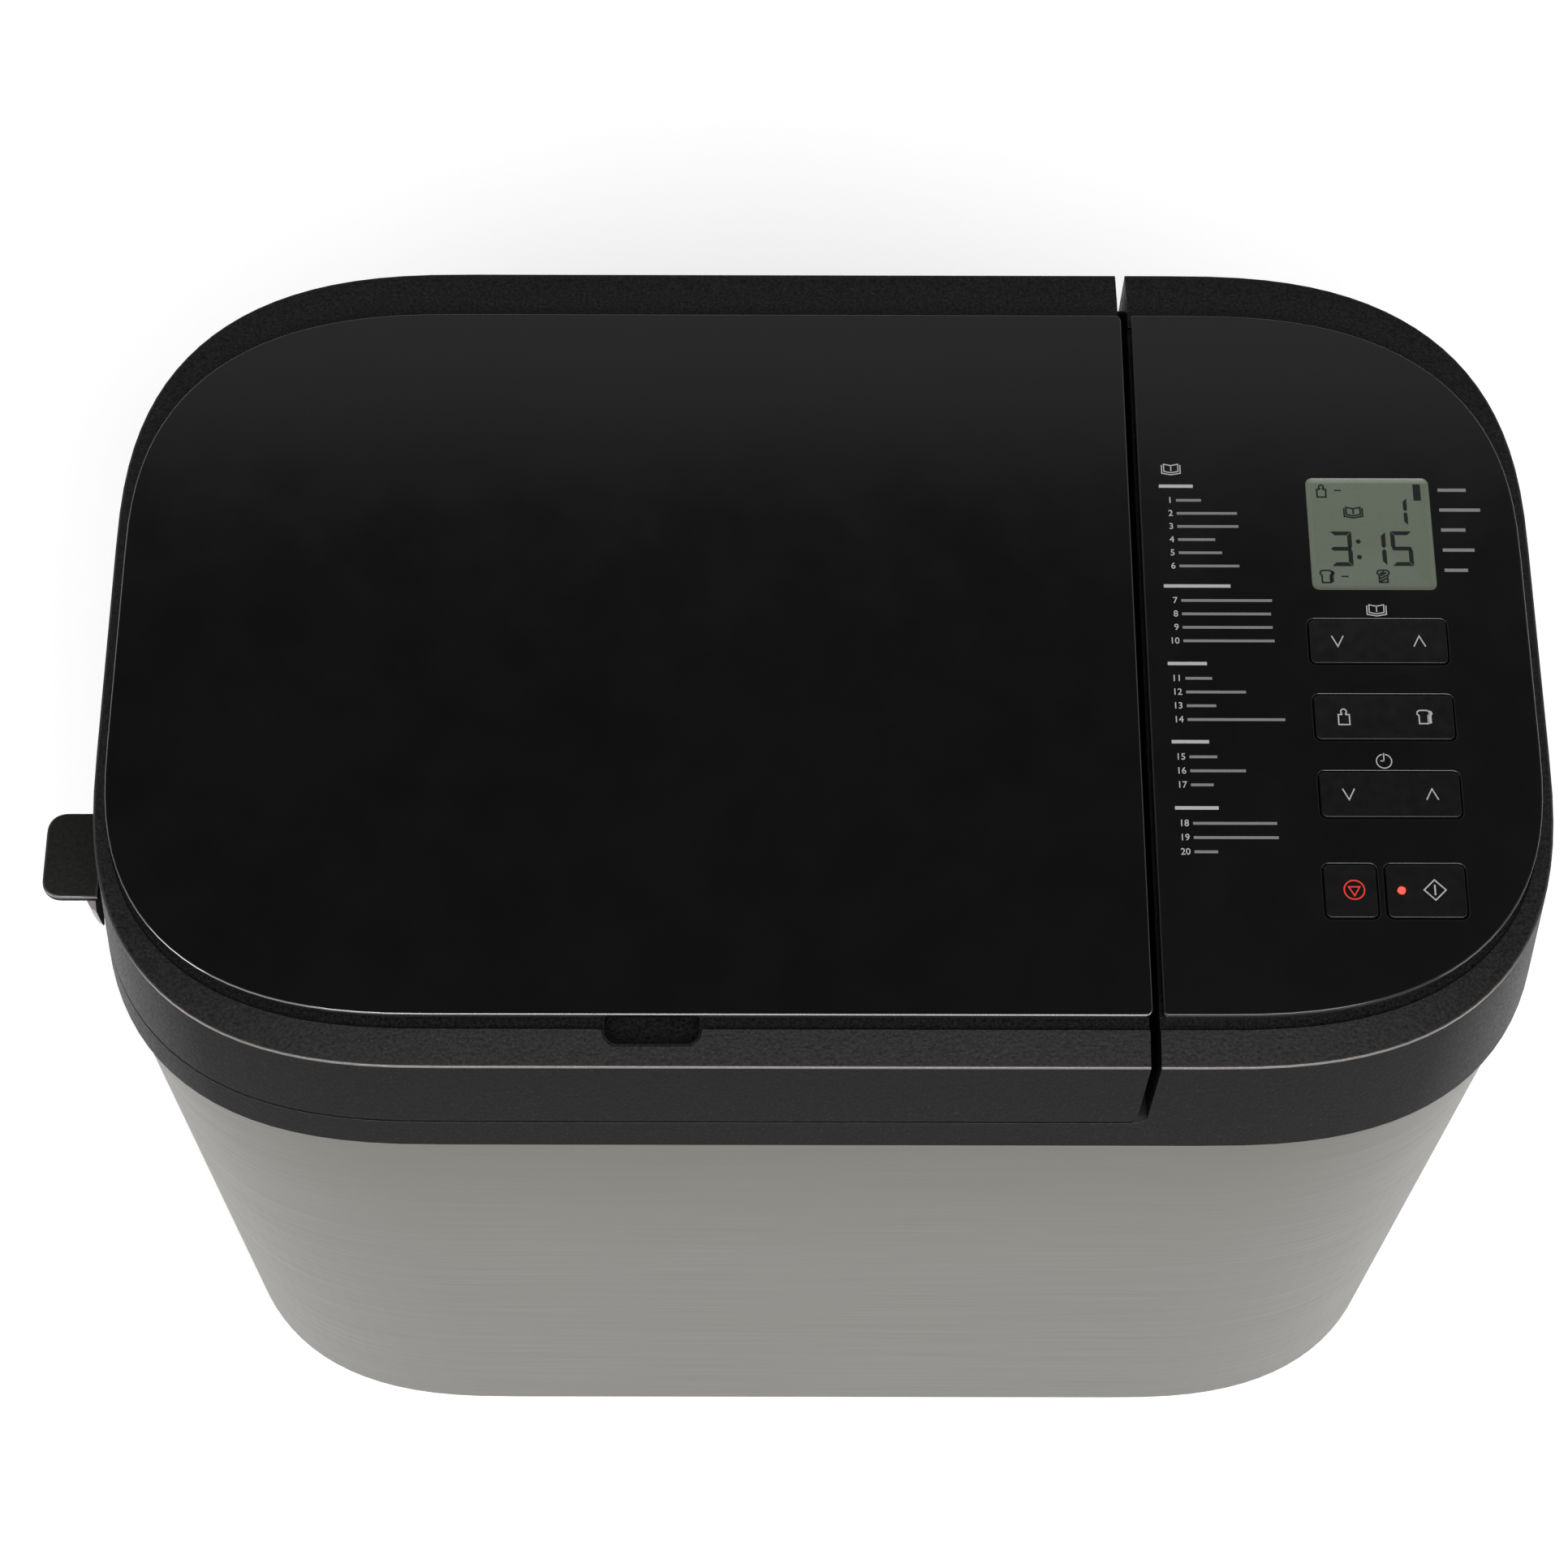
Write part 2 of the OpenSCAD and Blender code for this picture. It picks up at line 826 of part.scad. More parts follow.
module bread_pan() {
    color([0.25, 0.25, 0.26])
        difference() {
            union() {
                block(oven_x, 0, pan_w, pan_d, pan_r, pan_floor_z, pan_top_z);
                block(oven_x, 0, pan_w + 5, pan_d + 4, pan_r + 2, pan_top_z - 2, pan_top_z);
                for (s = [-1, 1])
                    translate([oven_x + s * (pan_w / 2 + 1.5), 0, 0])
                        span([-2.2, -8, bail_z - 9], [2.2, 8, pan_top_z - 2]);
            }
            block(oven_x, 0, pan_w - 2 * pan_wall, pan_d - 2 * pan_wall, pan_r - pan_wall,
                pan_floor_z + pan_floor_t, pan_top_z + 1);
            disc(oven_x, 0, 7, pan_floor_z - 1, pan_floor_z + 10);
            for (s = [-1, 1])
                rod_x(0, bail_z, bail_r + run_gap, oven_x + s * (pan_w / 2 + 2.1) - 1.9,
                    oven_x + s * (pan_w / 2 + 2.1) + 1.9);
        }
}

module pan_base_ring() {
    color("silver")
        ring(oven_x, 0, foot_ring_r, foot_ring_r - 3, oven_z + sheet_t + 0.5, pan_floor_z);
}

module pan_bush() {
    color("darkgoldenrod")
        difference() {
            union() {
                disc(oven_x, 0, 7, pan_floor_z - 8, pan_floor_z + pan_floor_t);
                disc(oven_x, 0, 11, pan_floor_z - 3, pan_floor_z);
                disc(oven_x, 0, 10, pan_floor_z + pan_floor_t, pan_floor_z + pan_floor_t + 2);
            }
            disc(oven_x, 0, pan_shaft_r + run_gap, 80, 130);
        }
}

module shaft_seal() {
    low = pan_floor_z + pan_floor_t + 2;
    color([0.5, 0.2, 0.15])
        ring(oven_x, 0, 8, pan_shaft_r + 0.1, low, low + 2);
}

module pan_handle() {
    color("silver")
        union() {
            for (s = [-1, 1]) {
                translate([oven_x + s * 95.6, 0, bail_z])
                    rotate([0, 90, 0])
                        cylinder(r = bail_r, h = 2 * (bail_x - 95.6), center = true);
                translate([oven_x + s * bail_x, 0, bail_z])
                    sphere(r = bail_r);
                rod_y(oven_x + s * bail_x, bail_z, bail_r, -bail_reach, 0);
                translate([oven_x + s * bail_x, -bail_reach, bail_z])
                    sphere(r = bail_r);
            }
            rod_x(-bail_reach, bail_z, bail_r, oven_x - bail_x, oven_x + bail_x);
        }
}

shaft_top = 142;

module pan_shaft() {
    color("silver")
        difference() {
            disc(oven_x, 0, pan_shaft_r, 87, shaft_top);
            span([oven_x + 2.6, -5, pan_floor_z + 6.5], [oven_x + 6, 5, shaft_top + 1]);
        }
}

module pan_coupling() {
    color("slategray")
        difference() {
            union() {
                span([oven_x - 14, -3.5, 87], [oven_x + 14, 3.5, 94]);
                disc(oven_x, 0, 8, 87, 97);
            }
            disc(oven_x, 0, pan_shaft_r, 80, 120);
        }
}

module kneading_blade() {
    low = pan_floor_z + pan_floor_t + 4.5;
    color([0.2, 0.2, 0.21])
        difference() {
            union() {
                disc(oven_x, 0, 10, low, shaft_top + 2);
                translate([oven_x, 0, low])
                    rotate([90, 0, 0])
                        linear_extrude(4, center = true)
                            polygon([[6, 0], [44, 0], [46, 4], [40, 26], [30, 36], [6, 30]]);
                translate([oven_x, 0, low])
                    linear_extrude(3)
                        polygon([[0, -7], [42, -3], [42, 3], [0, 7]]);
            }
            difference() {
                disc(oven_x, 0, pan_shaft_r + 0.1, low - 1, shaft_top + 0.5);
                span([oven_x + 2.8, -5, low - 1], [oven_x + 6, 5, shaft_top + 2]);
            }
        }
}

// --- Lid ------------------------------------------------------------------------------------

notch_x = -45.4;
notch_front = -114.2;
notch_back = -103;

module lid_ears(x) {
    for (s = [-1, 1]) {
        x0 = s < 0 ? x - lug_w / 2 - 0.5 - ear_t : x + lug_w / 2 + 0.5;
        span([x0, hinge_y - 5, lid_low + 2], [x0 + ear_t, hinge_y + 1, hinge_z + 7]);
    }
}

module lid_shell() {
    color([0.17, 0.16, 0.165])
        difference() {
            union() {
                difference() {
                    intersection() {
                        band_block();
                        span([-far, -far, lid_low], [lid_right, far, far]);
                    }
                    intersection() {
                        rim_slab(wall_t, lid_low - 1, deck_z - deck_t);
                        span([-far, -far, 0], [lid_right - wall_t, far, far]);
                    }
                    intersection() {
                        panel_slab(-recess_grow, deck_z, rim_z + 1);
                        span([-far, -far, 0], [lid_right + 1, far, far]);
                    }
                    // trough that lets the dispenser lid's rear edge turn
                    span([relief_x, flip_y - 1.5, deck_z], [lid_right + 1, flip_y + 7, rim_z + 1]);
                }
                for (x = hinge_x)
                    lid_ears(x);
                for (x = flip_x)
                    flip_lug(x);
                // block that the finger notch is cut in
                block(notch_x, -110, notch_w + 4, 17, 2, deck_z - 8, deck_z - deck_t + 1);
            }
            for (x = hinge_x) {
                span([x - lug_w / 2 - 0.5, hinge_y - lug_r - 1, lid_low - 1],
                    [x + lug_w / 2 + 0.5, far, hinge_z + lug_r + 1.5]);
                rod_x(hinge_y, hinge_z, hinge_r, x - lug_w / 2 - 6, x + lug_w / 2 + 6);
            }
            block(notch_x, (notch_front + notch_back) / 2, notch_w, notch_back - notch_front, 3,
                deck_z - 6, rim_z + 1);
            block(raisin_x, 0, raisin_w, raisin_d, 3, deck_z - 10, rim_z);
            disc(yeast_x, 0, yeast_r, deck_z - 10, rim_z);
            span([-far, grip_y - 7, grip_z], [-190, grip_y + 7, grip_z + grip_t]);
        }
}

// A knuckle on the lid's deck that the dispenser lid turns on
module flip_lug(x) {
    difference() {
        union() {
            span([x - flip_lug_w / 2, flip_y - flip_lug_r, deck_z - 1],
                [x + flip_lug_w / 2, flip_y + flip_lug_r, flip_z]);
            rod_x(flip_y, flip_z, flip_lug_r, x - flip_lug_w / 2, x + flip_lug_w / 2);
        }
        rod_x(flip_y, flip_z, flip_r + run_gap, x - flip_lug_w, x + flip_lug_w);
    }
}

module lid_inner_plate() {
    color("gainsboro")
        difference() {
            union() {
                intersection() {
                    rim_slab(wall_t + 0.3, plate_z, plate_z + plate_t);
                    span([-far, -far, 0], [lid_right - wall_t - 0.3, hinge_y - 6, far]);
                }
                block(oven_x, 0, 210, 152, 24, frame_deck_z, plate_z + eps);
            }
            block(oven_x, 0, 207, 149, 22.5, frame_deck_z + 1.5, plate_z - eps);
            block(raisin_x - 1, 0, raisin_w + 10, raisin_d + 14, 3, 300, 320);
            disc(yeast_x, 0, yeast_r + 0.5, 300, 320);
            span([yeast_x, -14, 300], [yeast_axis_x + 4, 14, 320]);
        }
}

module lid_seal() {
    color([0.4, 0.4, 0.4])
        difference() {
            block(oven_x, 0, 244, 186, 36, frame_deck_z + frame_deck_t + 0.3, plate_z);
            block(oven_x, 0, 234, 176, 31, 300, 320);
        }
}

module lid_hinge_pins() {
    color("silver")
        for (x = hinge_x)
            rod_x(hinge_y, hinge_z, hinge_r, x - lug_w / 2 - 5.5, x + lug_w / 2 + 5.5);
}

module lid_grip() {
    root = -band_half(grip_z) - 0.1;
    color([0.12, 0.12, 0.11])
        union() {
            translate([(grip_x + root) / 2, grip_y, grip_z])
                linear_extrude(grip_t)
                    round_2d(root - grip_x, grip_w, 6);
            span([root - 7, grip_y - grip_w / 2, grip_z], [root, grip_y + grip_w / 2, grip_z + grip_t]);
            span([root - 1, grip_y - 7, grip_z], [-rim_w / 2 + wall_t, grip_y + 7, grip_z + grip_t]);
        }
}

// Bulged bracket that carries the grip from below
module grip_bracket() {
    root = -band_half(pod_low) - 0.4;
    color([0.3, 0.3, 0.3])
        translate([root, grip_y, pod_low])
            linear_extrude(grip_z - pod_low)
                polygon([for (i = [0:16])
                    let (a = 90 + 180 * i / 16)
                    [pod_out * cos(a), pod_w / 2 * sin(a)]]);
}

// --- Dispensers -----------------------------------------------------------------------------

flap_pin_r = 1.4;

module raisin_box() {
    color([0.85, 0.85, 0.85])
        difference() {
            union() {
                block(raisin_x, 0, raisin_w - 0.6, raisin_d - 0.6, 3, cup_low, deck_z);
                block(raisin_x, 0, raisin_w + 6, raisin_d + 6, 4, deck_z, cup_top);
                for (s = [-1, 1])
                    span([raisin_axis_x - 2.5, s * 52.5 - 1.5, flap_axis_z - 2.5],
                        [raisin_x - 20, s * 52.5 + 1.5, lid_low + 8]);
                for (s = [-1, 1])
                    span([raisin_x - 28, s * 50.5 - 1.5, lid_low + 3],
                        [raisin_x - 20, s * 50.5 + 1.5, lid_low + 8]);
            }
            block(raisin_x, 0, raisin_w - 0.6 - 2 * cup_wall, raisin_d - 0.6 - 2 * cup_wall, 2,
                cup_low - 1, cup_top + 1);
            rod_y(raisin_axis_x, flap_axis_z, flap_pin_r + run_gap, -60, 60);
        }
}

module raisin_flap() {
    color("white")
        union() {
            block(raisin_x, 0, raisin_w - 0.6, raisin_d - 0.6, 2, flap_z, flap_z + flap_t);
            span([raisin_axis_x, -49, flap_z], [raisin_x - 20, 49, flap_z + flap_t]);
            rod_y(raisin_axis_x, flap_axis_z, flap_pin_r, -53.5, 53.5);
        }
}

// A solenoid's frame and coil round a bore, standing along X from the origin
module solenoid(length) {
    difference() {
        union() {
            translate([1, 0, 0])
                rotate([0, 90, 0])
                    cylinder(r = coil_r, h = length - 2);
            span([0, -11, -coil_h], [2, 11, coil_h]);
            span([length - 2, -11, -coil_h], [length, 11, coil_h]);
            span([0, -11, -coil_h], [length, 11, 2 - coil_h]);
        }
        translate([-1, 0, 0])
            rotate([0, 90, 0])
                cylinder(r = 4.1, h = length - 2);
    }
}

module plunger(length) {
    rotate([0, 90, 0])
        cylinder(r = 4, h = length);
    translate([-4, -1, -3])
        cube([5, 2, 6]);
}

module raisin_solenoid() {
    color("peru")
        translate([raisin_x + 50, 0, coil_z])
            solenoid(34);
}

module raisin_plunger() {
    color("silver")
        translate([raisin_x + 37, 0, coil_z])
            plunger(34);
}

module yeast_cup() {
    color([0.85, 0.85, 0.85])
        difference() {
            union() {
                disc(yeast_x, 0, yeast_r - 0.3, cup_low, deck_z);
                disc(yeast_x, 0, yeast_r + 3, deck_z, cup_top);
                for (s = [-1, 1])
                    span([yeast_x + 12, s * 11.5 - 1.5, flap_axis_z - 2.5],
                        [yeast_axis_x + 2.5, s * 11.5 + 1.5, lid_low + 8]);
            }
            disc(yeast_x, 0, yeast_r - 0.3 - cup_wall, cup_low - 1, cup_top + 1);
            span([yeast_x, -20, flap_z - 3], [yeast_axis_x - 2.4, 20, cup_low]);
            rod_y(yeast_axis_x, flap_axis_z, flap_pin_r + run_gap, -20, 20);
        }
}

module yeast_flap() {
    color("white")
        union() {
            disc(yeast_x, 0, yeast_r - 0.3, flap_z, flap_z + flap_t);
            span([yeast_x + 10, -9.6, flap_z], [yeast_axis_x, 9.6, flap_z + flap_t]);
            rod_y(yeast_axis_x, flap_axis_z, flap_pin_r, -12.5, 12.5);
        }
}

module yeast_solenoid() {
    color("peru")
        translate([yeast_x, 40, coil_z])
            rotate([0, 0, 90])
                solenoid(30);
}

module yeast_plunger() {
    color("silver")
        translate([yeast_x, 28, coil_z])
            rotate([0, 0, 90])
                plunger(30);
}

module dispenser_lid() {
    color([0.06, 0.06, 0.06])
        difference() {
            union() {
                lid_side()
                    panel_slab(0, skin_low, panel_z);
                intersection() {
                    difference() {
                        panel_slab(panel_lip, deck_z + 1.4, skin_low);
                        intersection() {
                            panel_slab(panel_lip + skirt_t, deck_z, skin_low);
                            span([-far, -far, 0], [lid_right - 1.2 - skirt_t, far, far]);
                        }
                        for (x = flip_x)
                            span([x - 10, 90, 0], [x + 10, far, skin_low]);
                    }
                    span([-far, -far, 0], [lid_right - 1.2, far, far]);
                }
                for (x = flip_x, s = [-1, 1])
                    translate([x + 5.2 * s, 0, 0])
                        span([-2.2, flip_y - 2.6, flip_z - 2.1], [2.2, flip_y + 2.1, skin_low]);
            }
            for (x = flip_x)
                rod_x(flip_y, flip_z, flip_r, x - 8, x + 8);
        }
}

module dispenser_seal() {
    color([0.3, 0.3, 0.3]) {
        difference() {
            block(raisin_x, 0, raisin_w + 4, raisin_d + 4, 3, cup_top + 0.3, skin_low);
            block(raisin_x, 0, raisin_w - 2, raisin_d - 2, 2, cup_top - 1, skin_low + 1);
        }
        ring(yeast_x, 0, yeast_r + 2, yeast_r - 1, cup_top + 0.3, skin_low);
    }
}

module dispenser_pins() {
    color("silver")
        for (x = flip_x)
            rod_x(flip_y, flip_z, flip_r, x - 7, x + 7);
}

body_wrap();
base_tray();
feet();
case_screws();
chassis_plate();
top_frame();
control_panel();
lcd_window();
lcd_module();
status_led();
control_board();
tact_switches();
menu_key();
option_key();
timer_key();
stop_key();
start_key();
oven_chamber();
heat_shield();
heater_element();
temperature_sensor();
thermal_fuse();
pan_socket();
bearing_housing();
shaft_bushes();
drive_shaft();
lower_coupling();
large_pulley();
drive_belt();
motor();
motor_shaft();
motor_pulley();
run_capacitor();
power_board();
cord_inlet();
bread_pan();
pan_base_ring();
pan_bush();
shaft_seal();
pan_handle();
pan_shaft();
pan_coupling();
kneading_blade();
lid_shell();
lid_inner_plate();
lid_seal();
lid_hinge_pins();
lid_grip();
grip_bracket();
raisin_box();
raisin_flap();
raisin_solenoid();
raisin_plunger();
yeast_cup();
yeast_flap();
yeast_solenoid();
yeast_plunger();
dispenser_lid();
dispenser_seal();
dispenser_pins();
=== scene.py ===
"""Looks of a bread machine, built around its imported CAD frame. Lengths are in millimetres until
a mesh is made, then in metres. X points right, Y to the back and Z up."""

import json
import math

import bmesh
import bpy
from mathutils import Matrix, Vector


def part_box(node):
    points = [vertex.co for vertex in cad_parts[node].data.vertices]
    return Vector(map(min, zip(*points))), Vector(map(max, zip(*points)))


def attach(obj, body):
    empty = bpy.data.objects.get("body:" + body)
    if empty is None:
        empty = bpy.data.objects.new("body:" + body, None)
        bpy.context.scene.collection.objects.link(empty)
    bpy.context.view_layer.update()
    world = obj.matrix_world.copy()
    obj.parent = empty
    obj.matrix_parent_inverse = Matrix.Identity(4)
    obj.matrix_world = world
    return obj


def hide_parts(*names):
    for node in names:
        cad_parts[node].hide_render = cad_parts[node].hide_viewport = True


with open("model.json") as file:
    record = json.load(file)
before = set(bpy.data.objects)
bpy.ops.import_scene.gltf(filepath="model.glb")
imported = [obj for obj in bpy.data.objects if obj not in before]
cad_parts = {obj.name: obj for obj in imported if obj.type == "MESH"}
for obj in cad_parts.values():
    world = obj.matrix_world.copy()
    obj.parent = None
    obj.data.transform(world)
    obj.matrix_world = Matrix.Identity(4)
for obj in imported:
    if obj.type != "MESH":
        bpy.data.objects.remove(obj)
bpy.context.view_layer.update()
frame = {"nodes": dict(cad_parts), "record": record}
nodes = frame["nodes"]
MM = 0.001
FAR = 400


def box(node):
    """Lowest and highest corners of a CAD node, in millimetres."""
    low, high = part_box(node)
    return low / MM, high / MM


# --- Sizes ----------------------------------------------------------------------------------

BODY_LOW, BODY_HIGH = box("top_frame")
BODY_W, BODY_D = BODY_HIGH.x - BODY_LOW.x, BODY_HIGH.y - BODY_LOW.y
BODY_Y, RIM_W, RIM_D = 2, 396, 245
RIM_Z = BODY_HIGH.z
SKIN_Z, BAND_Z = box("body_wrap")[0].z, box("body_wrap")[1].z
LID_LOW, LID_RIGHT = box("lid_shell")[0].z, box("lid_shell")[1].x
CTL_LEFT = box("control_panel")[0].x
# Printed marks are this thick, and the faces under them are that much lower than in the CAD
MARK_T = 0.05
PANEL_Z = box("control_panel")[1].z - MARK_T
CORNER_X, CORNER_Y, CORNER_POWER = 101, 91.5, 2.66
STEPS = 24
SKIN_INSET, SKIN_T, WALL_T = 1.5, 0.8, 3.2
SEAM_Z, DECK_Z, DECK_T = 307, 350, 3
TRAY_Z, TRAY_T = 303, 2
PANEL_W, PANEL_D, PANEL_Y = 387, 214, -2.35
PANEL_RX, PANEL_RY, PANEL_POWER = 90, 78, 2.57
SKIN_LOW = PANEL_Z - 2.2
OVEN_X, OVEN_W, OVEN_D, OVEN_R = -57, 230, 172, 30
HINGE_Y, HINGE_Z, HINGE_X, LUG_W, LUG_R = 120, 314, (-85, 62), 12, 3.5
FLIP_Y, FLIP_Z, FLIP_X, FLIP_W, FLIP_R = 101.5, 355, (-94, 56), 5, 2.4
# The dark web that closes the back of the gap beside the lid
WEB_FRONT, WEB_BACK, WEB_TOP = 112, 121.8, 335
KEY_X, LCD_X, LCD_Y, LCD_W, LCD_D = 152, 152.3, 33.8, 34.6, 35.6
ROCKERS = {"menu": 0, "option": -23, "timer": -46}
ROCKER_W, ROCKER_D = 37.6, 13.2
SQUARE_Y, SQUARE_D = -74.1, 15.1
STOP_X, STOP_W, START_X, START_W = 139.5, 13.8, 159.5, 21
KEY_TOP = box("menu_key")[1].z - MARK_T
KEY_GAP = 0.4
RAISIN_X, YEAST_X = -110, 10

# --- Plans and meshes -----------------------------------------------------------------------


def outline(w, d, rx, ry, power=2.0, steps=STEPS):
    """Plan of a rectangle whose corners are quarters of a superellipse, counter-clockwise."""
    q = []
    for i in range(steps + 1):
        a = math.pi / 2 * i / steps
        q.append((rx * max(math.cos(a), 0) ** (2 / power), ry * math.sin(a) ** (2 / power)))
    cx, cy = w / 2 - rx, d / 2 - ry
    return (
        [(cx + x, cy + y) for x, y in q]
        + [(-cx - x, cy + y) for x, y in reversed(q)]
        + [(-cx - x, -cy - y) for x, y in q]
        + [(cx + x, -cy - y) for x, y in reversed(q)]
    )


def shift(points, x, y):
    return [(px + x, py + y) for px, py in points]


def arc(x, y, r, start, end, steps=6):
    """Points on an arc about (x, y), with the angles in degrees."""
    turn = [math.radians(start + (end - start) * i / steps) for i in range(steps + 1)]
    return [(x + r * math.cos(a), y + r * math.sin(a)) for a in turn]


def band_plan(z, d=0.0):
    """Plan of the rounded body at a height, drawn in by d. The band leans in from its foot to the rim."""
    t = min(max((z - BAND_Z) / (RIM_Z - BAND_Z), 0), 1)
    sx, sy = 1 - (1 - RIM_W / BODY_W) * t, 1 - (1 - RIM_D / BODY_D) * t
    wide, deep = BODY_W * sx - 2 * d, BODY_D * sy - 2 * d
    plan = outline(wide, deep, CORNER_X * sx - d, CORNER_Y * sy - d, CORNER_POWER)
    return shift(plan, 0, BODY_Y)


def body_plan(d=0.0):
    return band_plan(BAND_Z, d)


def rim_plan(d=0.0):
    return band_plan(RIM_Z, d)


def panel_plan(d=0.0):
    """Plan of both glossy panels together, drawn in by d from their edge."""
    plan = outline(PANEL_W - 2 * d, PANEL_D - 2 * d, PANEL_RX - d, PANEL_RY - d, PANEL_POWER)
    return shift(plan, 0, PANEL_Y)


def left_part(points, x, r=1.0):
    """What lies left of x, with round new corners."""
    low, high = min(p[1] for p in points), max(p[1] for p in points)
    kept = [p for p in points if p[0] < 0]
    return kept + arc(x - r, low + r, r, -90, 0) + arc(x - r, high - r, r, 0, 90)


def right_part(points, x, r=1.0):
    """What lies right of x, with round new corners."""
    low, high = min(p[1] for p in points), max(p[1] for p in points)
    half = len(points) // 4
    return (
        points[:half]
        + arc(x + r, high - r, r, 90, 180)
        + arc(x + r, low + r, r, 180, 270)
        + points[-half:]
    )


def inset(points, d):
    """The plan drawn in by d all round."""
    if not d:
        return [Vector(p) for p in points]
    out, n = [], len(points)
    for i in range(n):
        p = Vector(points[i])
        before, after, k = p - Vector(points[i - 1]), Vector(points[(i + 1) % n]) - p, 1
        while before.length < 1e-6:
            k += 1
            before = p - Vector(points[i - k])
        k = 1
        while after.length < 1e-6:
            k += 1
            after = Vector(points[(i + k) % n]) - p
        u, v = before.normalized(), after.normalized()
        a, b = Vector((-u.y, u.x)), Vector((-v.y, v.x))
        m = (a + b).normalized()
        out.append(p + m * d / max(m.dot(a), 0.4))
    return out


def rounded(z0, z1, r0, r1, steps=5):
    """Profile of (inset, z) for a slab with rounded lower and upper edges."""
    turn = [math.pi / 2 * i / steps for i in range(steps + 1)]
    low = [(r0 - r0 * math.sin(a), z0 + r0 - r0 * math.cos(a)) for a in turn]
    return low + [(r1 - r1 * math.cos(a), z1 - r1 + r1 * math.sin(a)) for a in turn]


def new_mesh(name, bm, sharp=35):
    """Turns a bmesh in millimetres into an object in metres, smooth but for its sharp edges."""
    bmesh.ops.remove_doubles(bm, verts=bm.verts, dist=1e-4)
    bmesh.ops.dissolve_degenerate(bm, edges=bm.edges, dist=1e-5)
    bmesh.ops.recalc_face_normals(bm, faces=bm.faces)
    bmesh.ops.scale(bm, vec=(MM, MM, MM), verts=bm.verts)
    mesh = bpy.data.meshes.new(name)
    bm.to_mesh(mesh)
    bm.free()
    obj = bpy.data.objects.new(name, mesh)
    bpy.context.scene.collection.objects.link(obj)
    shade(obj, sharp)
    return obj


def shade(obj, sharp=35):
    """Smooth faces, with edges sharper than the angle left sharp."""
    bm = bmesh.new()
    bm.from_mesh(obj.data)
    for f in bm.faces:
        f.smooth = True
    for e in bm.edges:
        e.smooth = len(e.link_faces) == 2 and e.calc_face_angle(0) < math.radians(sharp)
    bm.to_mesh(obj.data)
    bm.free()


def add_loft(bm, rings, closed=False):
    """Adds a skin through rings of points, capped at its ends or closed on itself."""
    made = [[bm.verts.new(p) for p in ring] for ring in rings]
    n = len(rings[0])
    pairs = list(zip(made, made[1:])) + ([(made[-1], made[0])] if closed else [])
    for a, b in pairs:
        for i in range(n):
            j = (i + 1) % n
            bm.faces.new((a[i], a[j], b[j], b[i]))
    if not closed:
        bm.faces.new(made[0][::-1])
        bm.faces.new(made[-1])


def loft(name, rings, closed=False, sharp=35):
    bm = bmesh.new()
    add_loft(bm, rings, closed)
    return new_mesh(name, bm, sharp)


def rings_of(plan, profile):
    return [[(p[0], p[1], z) for p in inset(plan, d)] for d, z in profile]


def solid(name, plan, profile, sharp=35):
    return loft(name, rings_of(plan, profile), sharp=sharp)


def body_solid(name, profile):
    """A solid on the body's plan, whose rings keep the corners' true shape."""
    return loft(name, [[(x, y, z) for x, y in band_plan(z, d)] for d, z in profile])


def block(name, x, y, w, d, r, z0, z1):
    """A block with rounded upright edges, centred on (x, y)."""
    return solid(name, shift(outline(w, d, r, r, steps=6), x, y), [(0, z0), (0, z1)])


def prism(name, points, axis, low, high):
    """A prism along X or Y, from points in the other axis and Z."""
    if axis == "x":
        return loft(name, [[(at, a, z) for a, z in points] for at in (low, high)])
    return loft(name, [[(a, at, z) for a, z in points] for at in (low, high)])


def cuboid(name, low, high):
    (x0, y0, z0), (x1, y1, z1) = low, high
    return prism(name, [(x0, z0), (x1, z0), (x1, z1), (x0, z1)], "y", y0, y1)


def drum(name, x, y, r, z0, z1):
    return solid(name, shift(outline(2 * r, 2 * r, r, r, steps=12), x, y), [(0, z0), (0, z1)])


def rod(name, axis, across, z, r, low, high):
    """A round rod along X or Y."""
    return prism(name, arc(across, z, r, 0, 345, 23), axis, low, high)


def boolean(obj, tools, operation="DIFFERENCE"):
    """Applies one exact boolean after another, and removes the tools."""
    for tool in tools:
        m = obj.modifiers.new("cut", "BOOLEAN")
        m.operation, m.object, m.solver = operation, tool, "EXACT"
    graph = bpy.context.evaluated_depsgraph_get()
    mesh = bpy.data.meshes.new_from_object(obj.evaluated_get(graph))
    obj.modifiers.clear()
    obj.data = mesh
    for tool in tools:
        bpy.data.objects.remove(tool)
    bm = bmesh.new()
    bm.from_mesh(mesh)
    bmesh.ops.remove_doubles(bm, verts=bm.verts, dist=2e-6)
    bmesh.ops.dissolve_degenerate(bm, edges=bm.edges, dist=1e-6)
    bm.to_mesh(mesh)
    bm.free()
    shade(obj)
    return obj


def soften(obj, width, angle=48):
    """A small round on every sharp edge, with flat faces kept flat."""
    m = obj.modifiers.new("edges", "BEVEL")
    m.width, m.segments, m.limit_method = width * MM, 2, "ANGLE"
    m.angle_limit = math.radians(angle)
    return flatten(obj)


def flatten(obj):
    """Keeps wide faces flat beside small rounds."""
    w = obj.modifiers.new("normals", "WEIGHTED_NORMAL")
    w.keep_sharp = True
    return obj


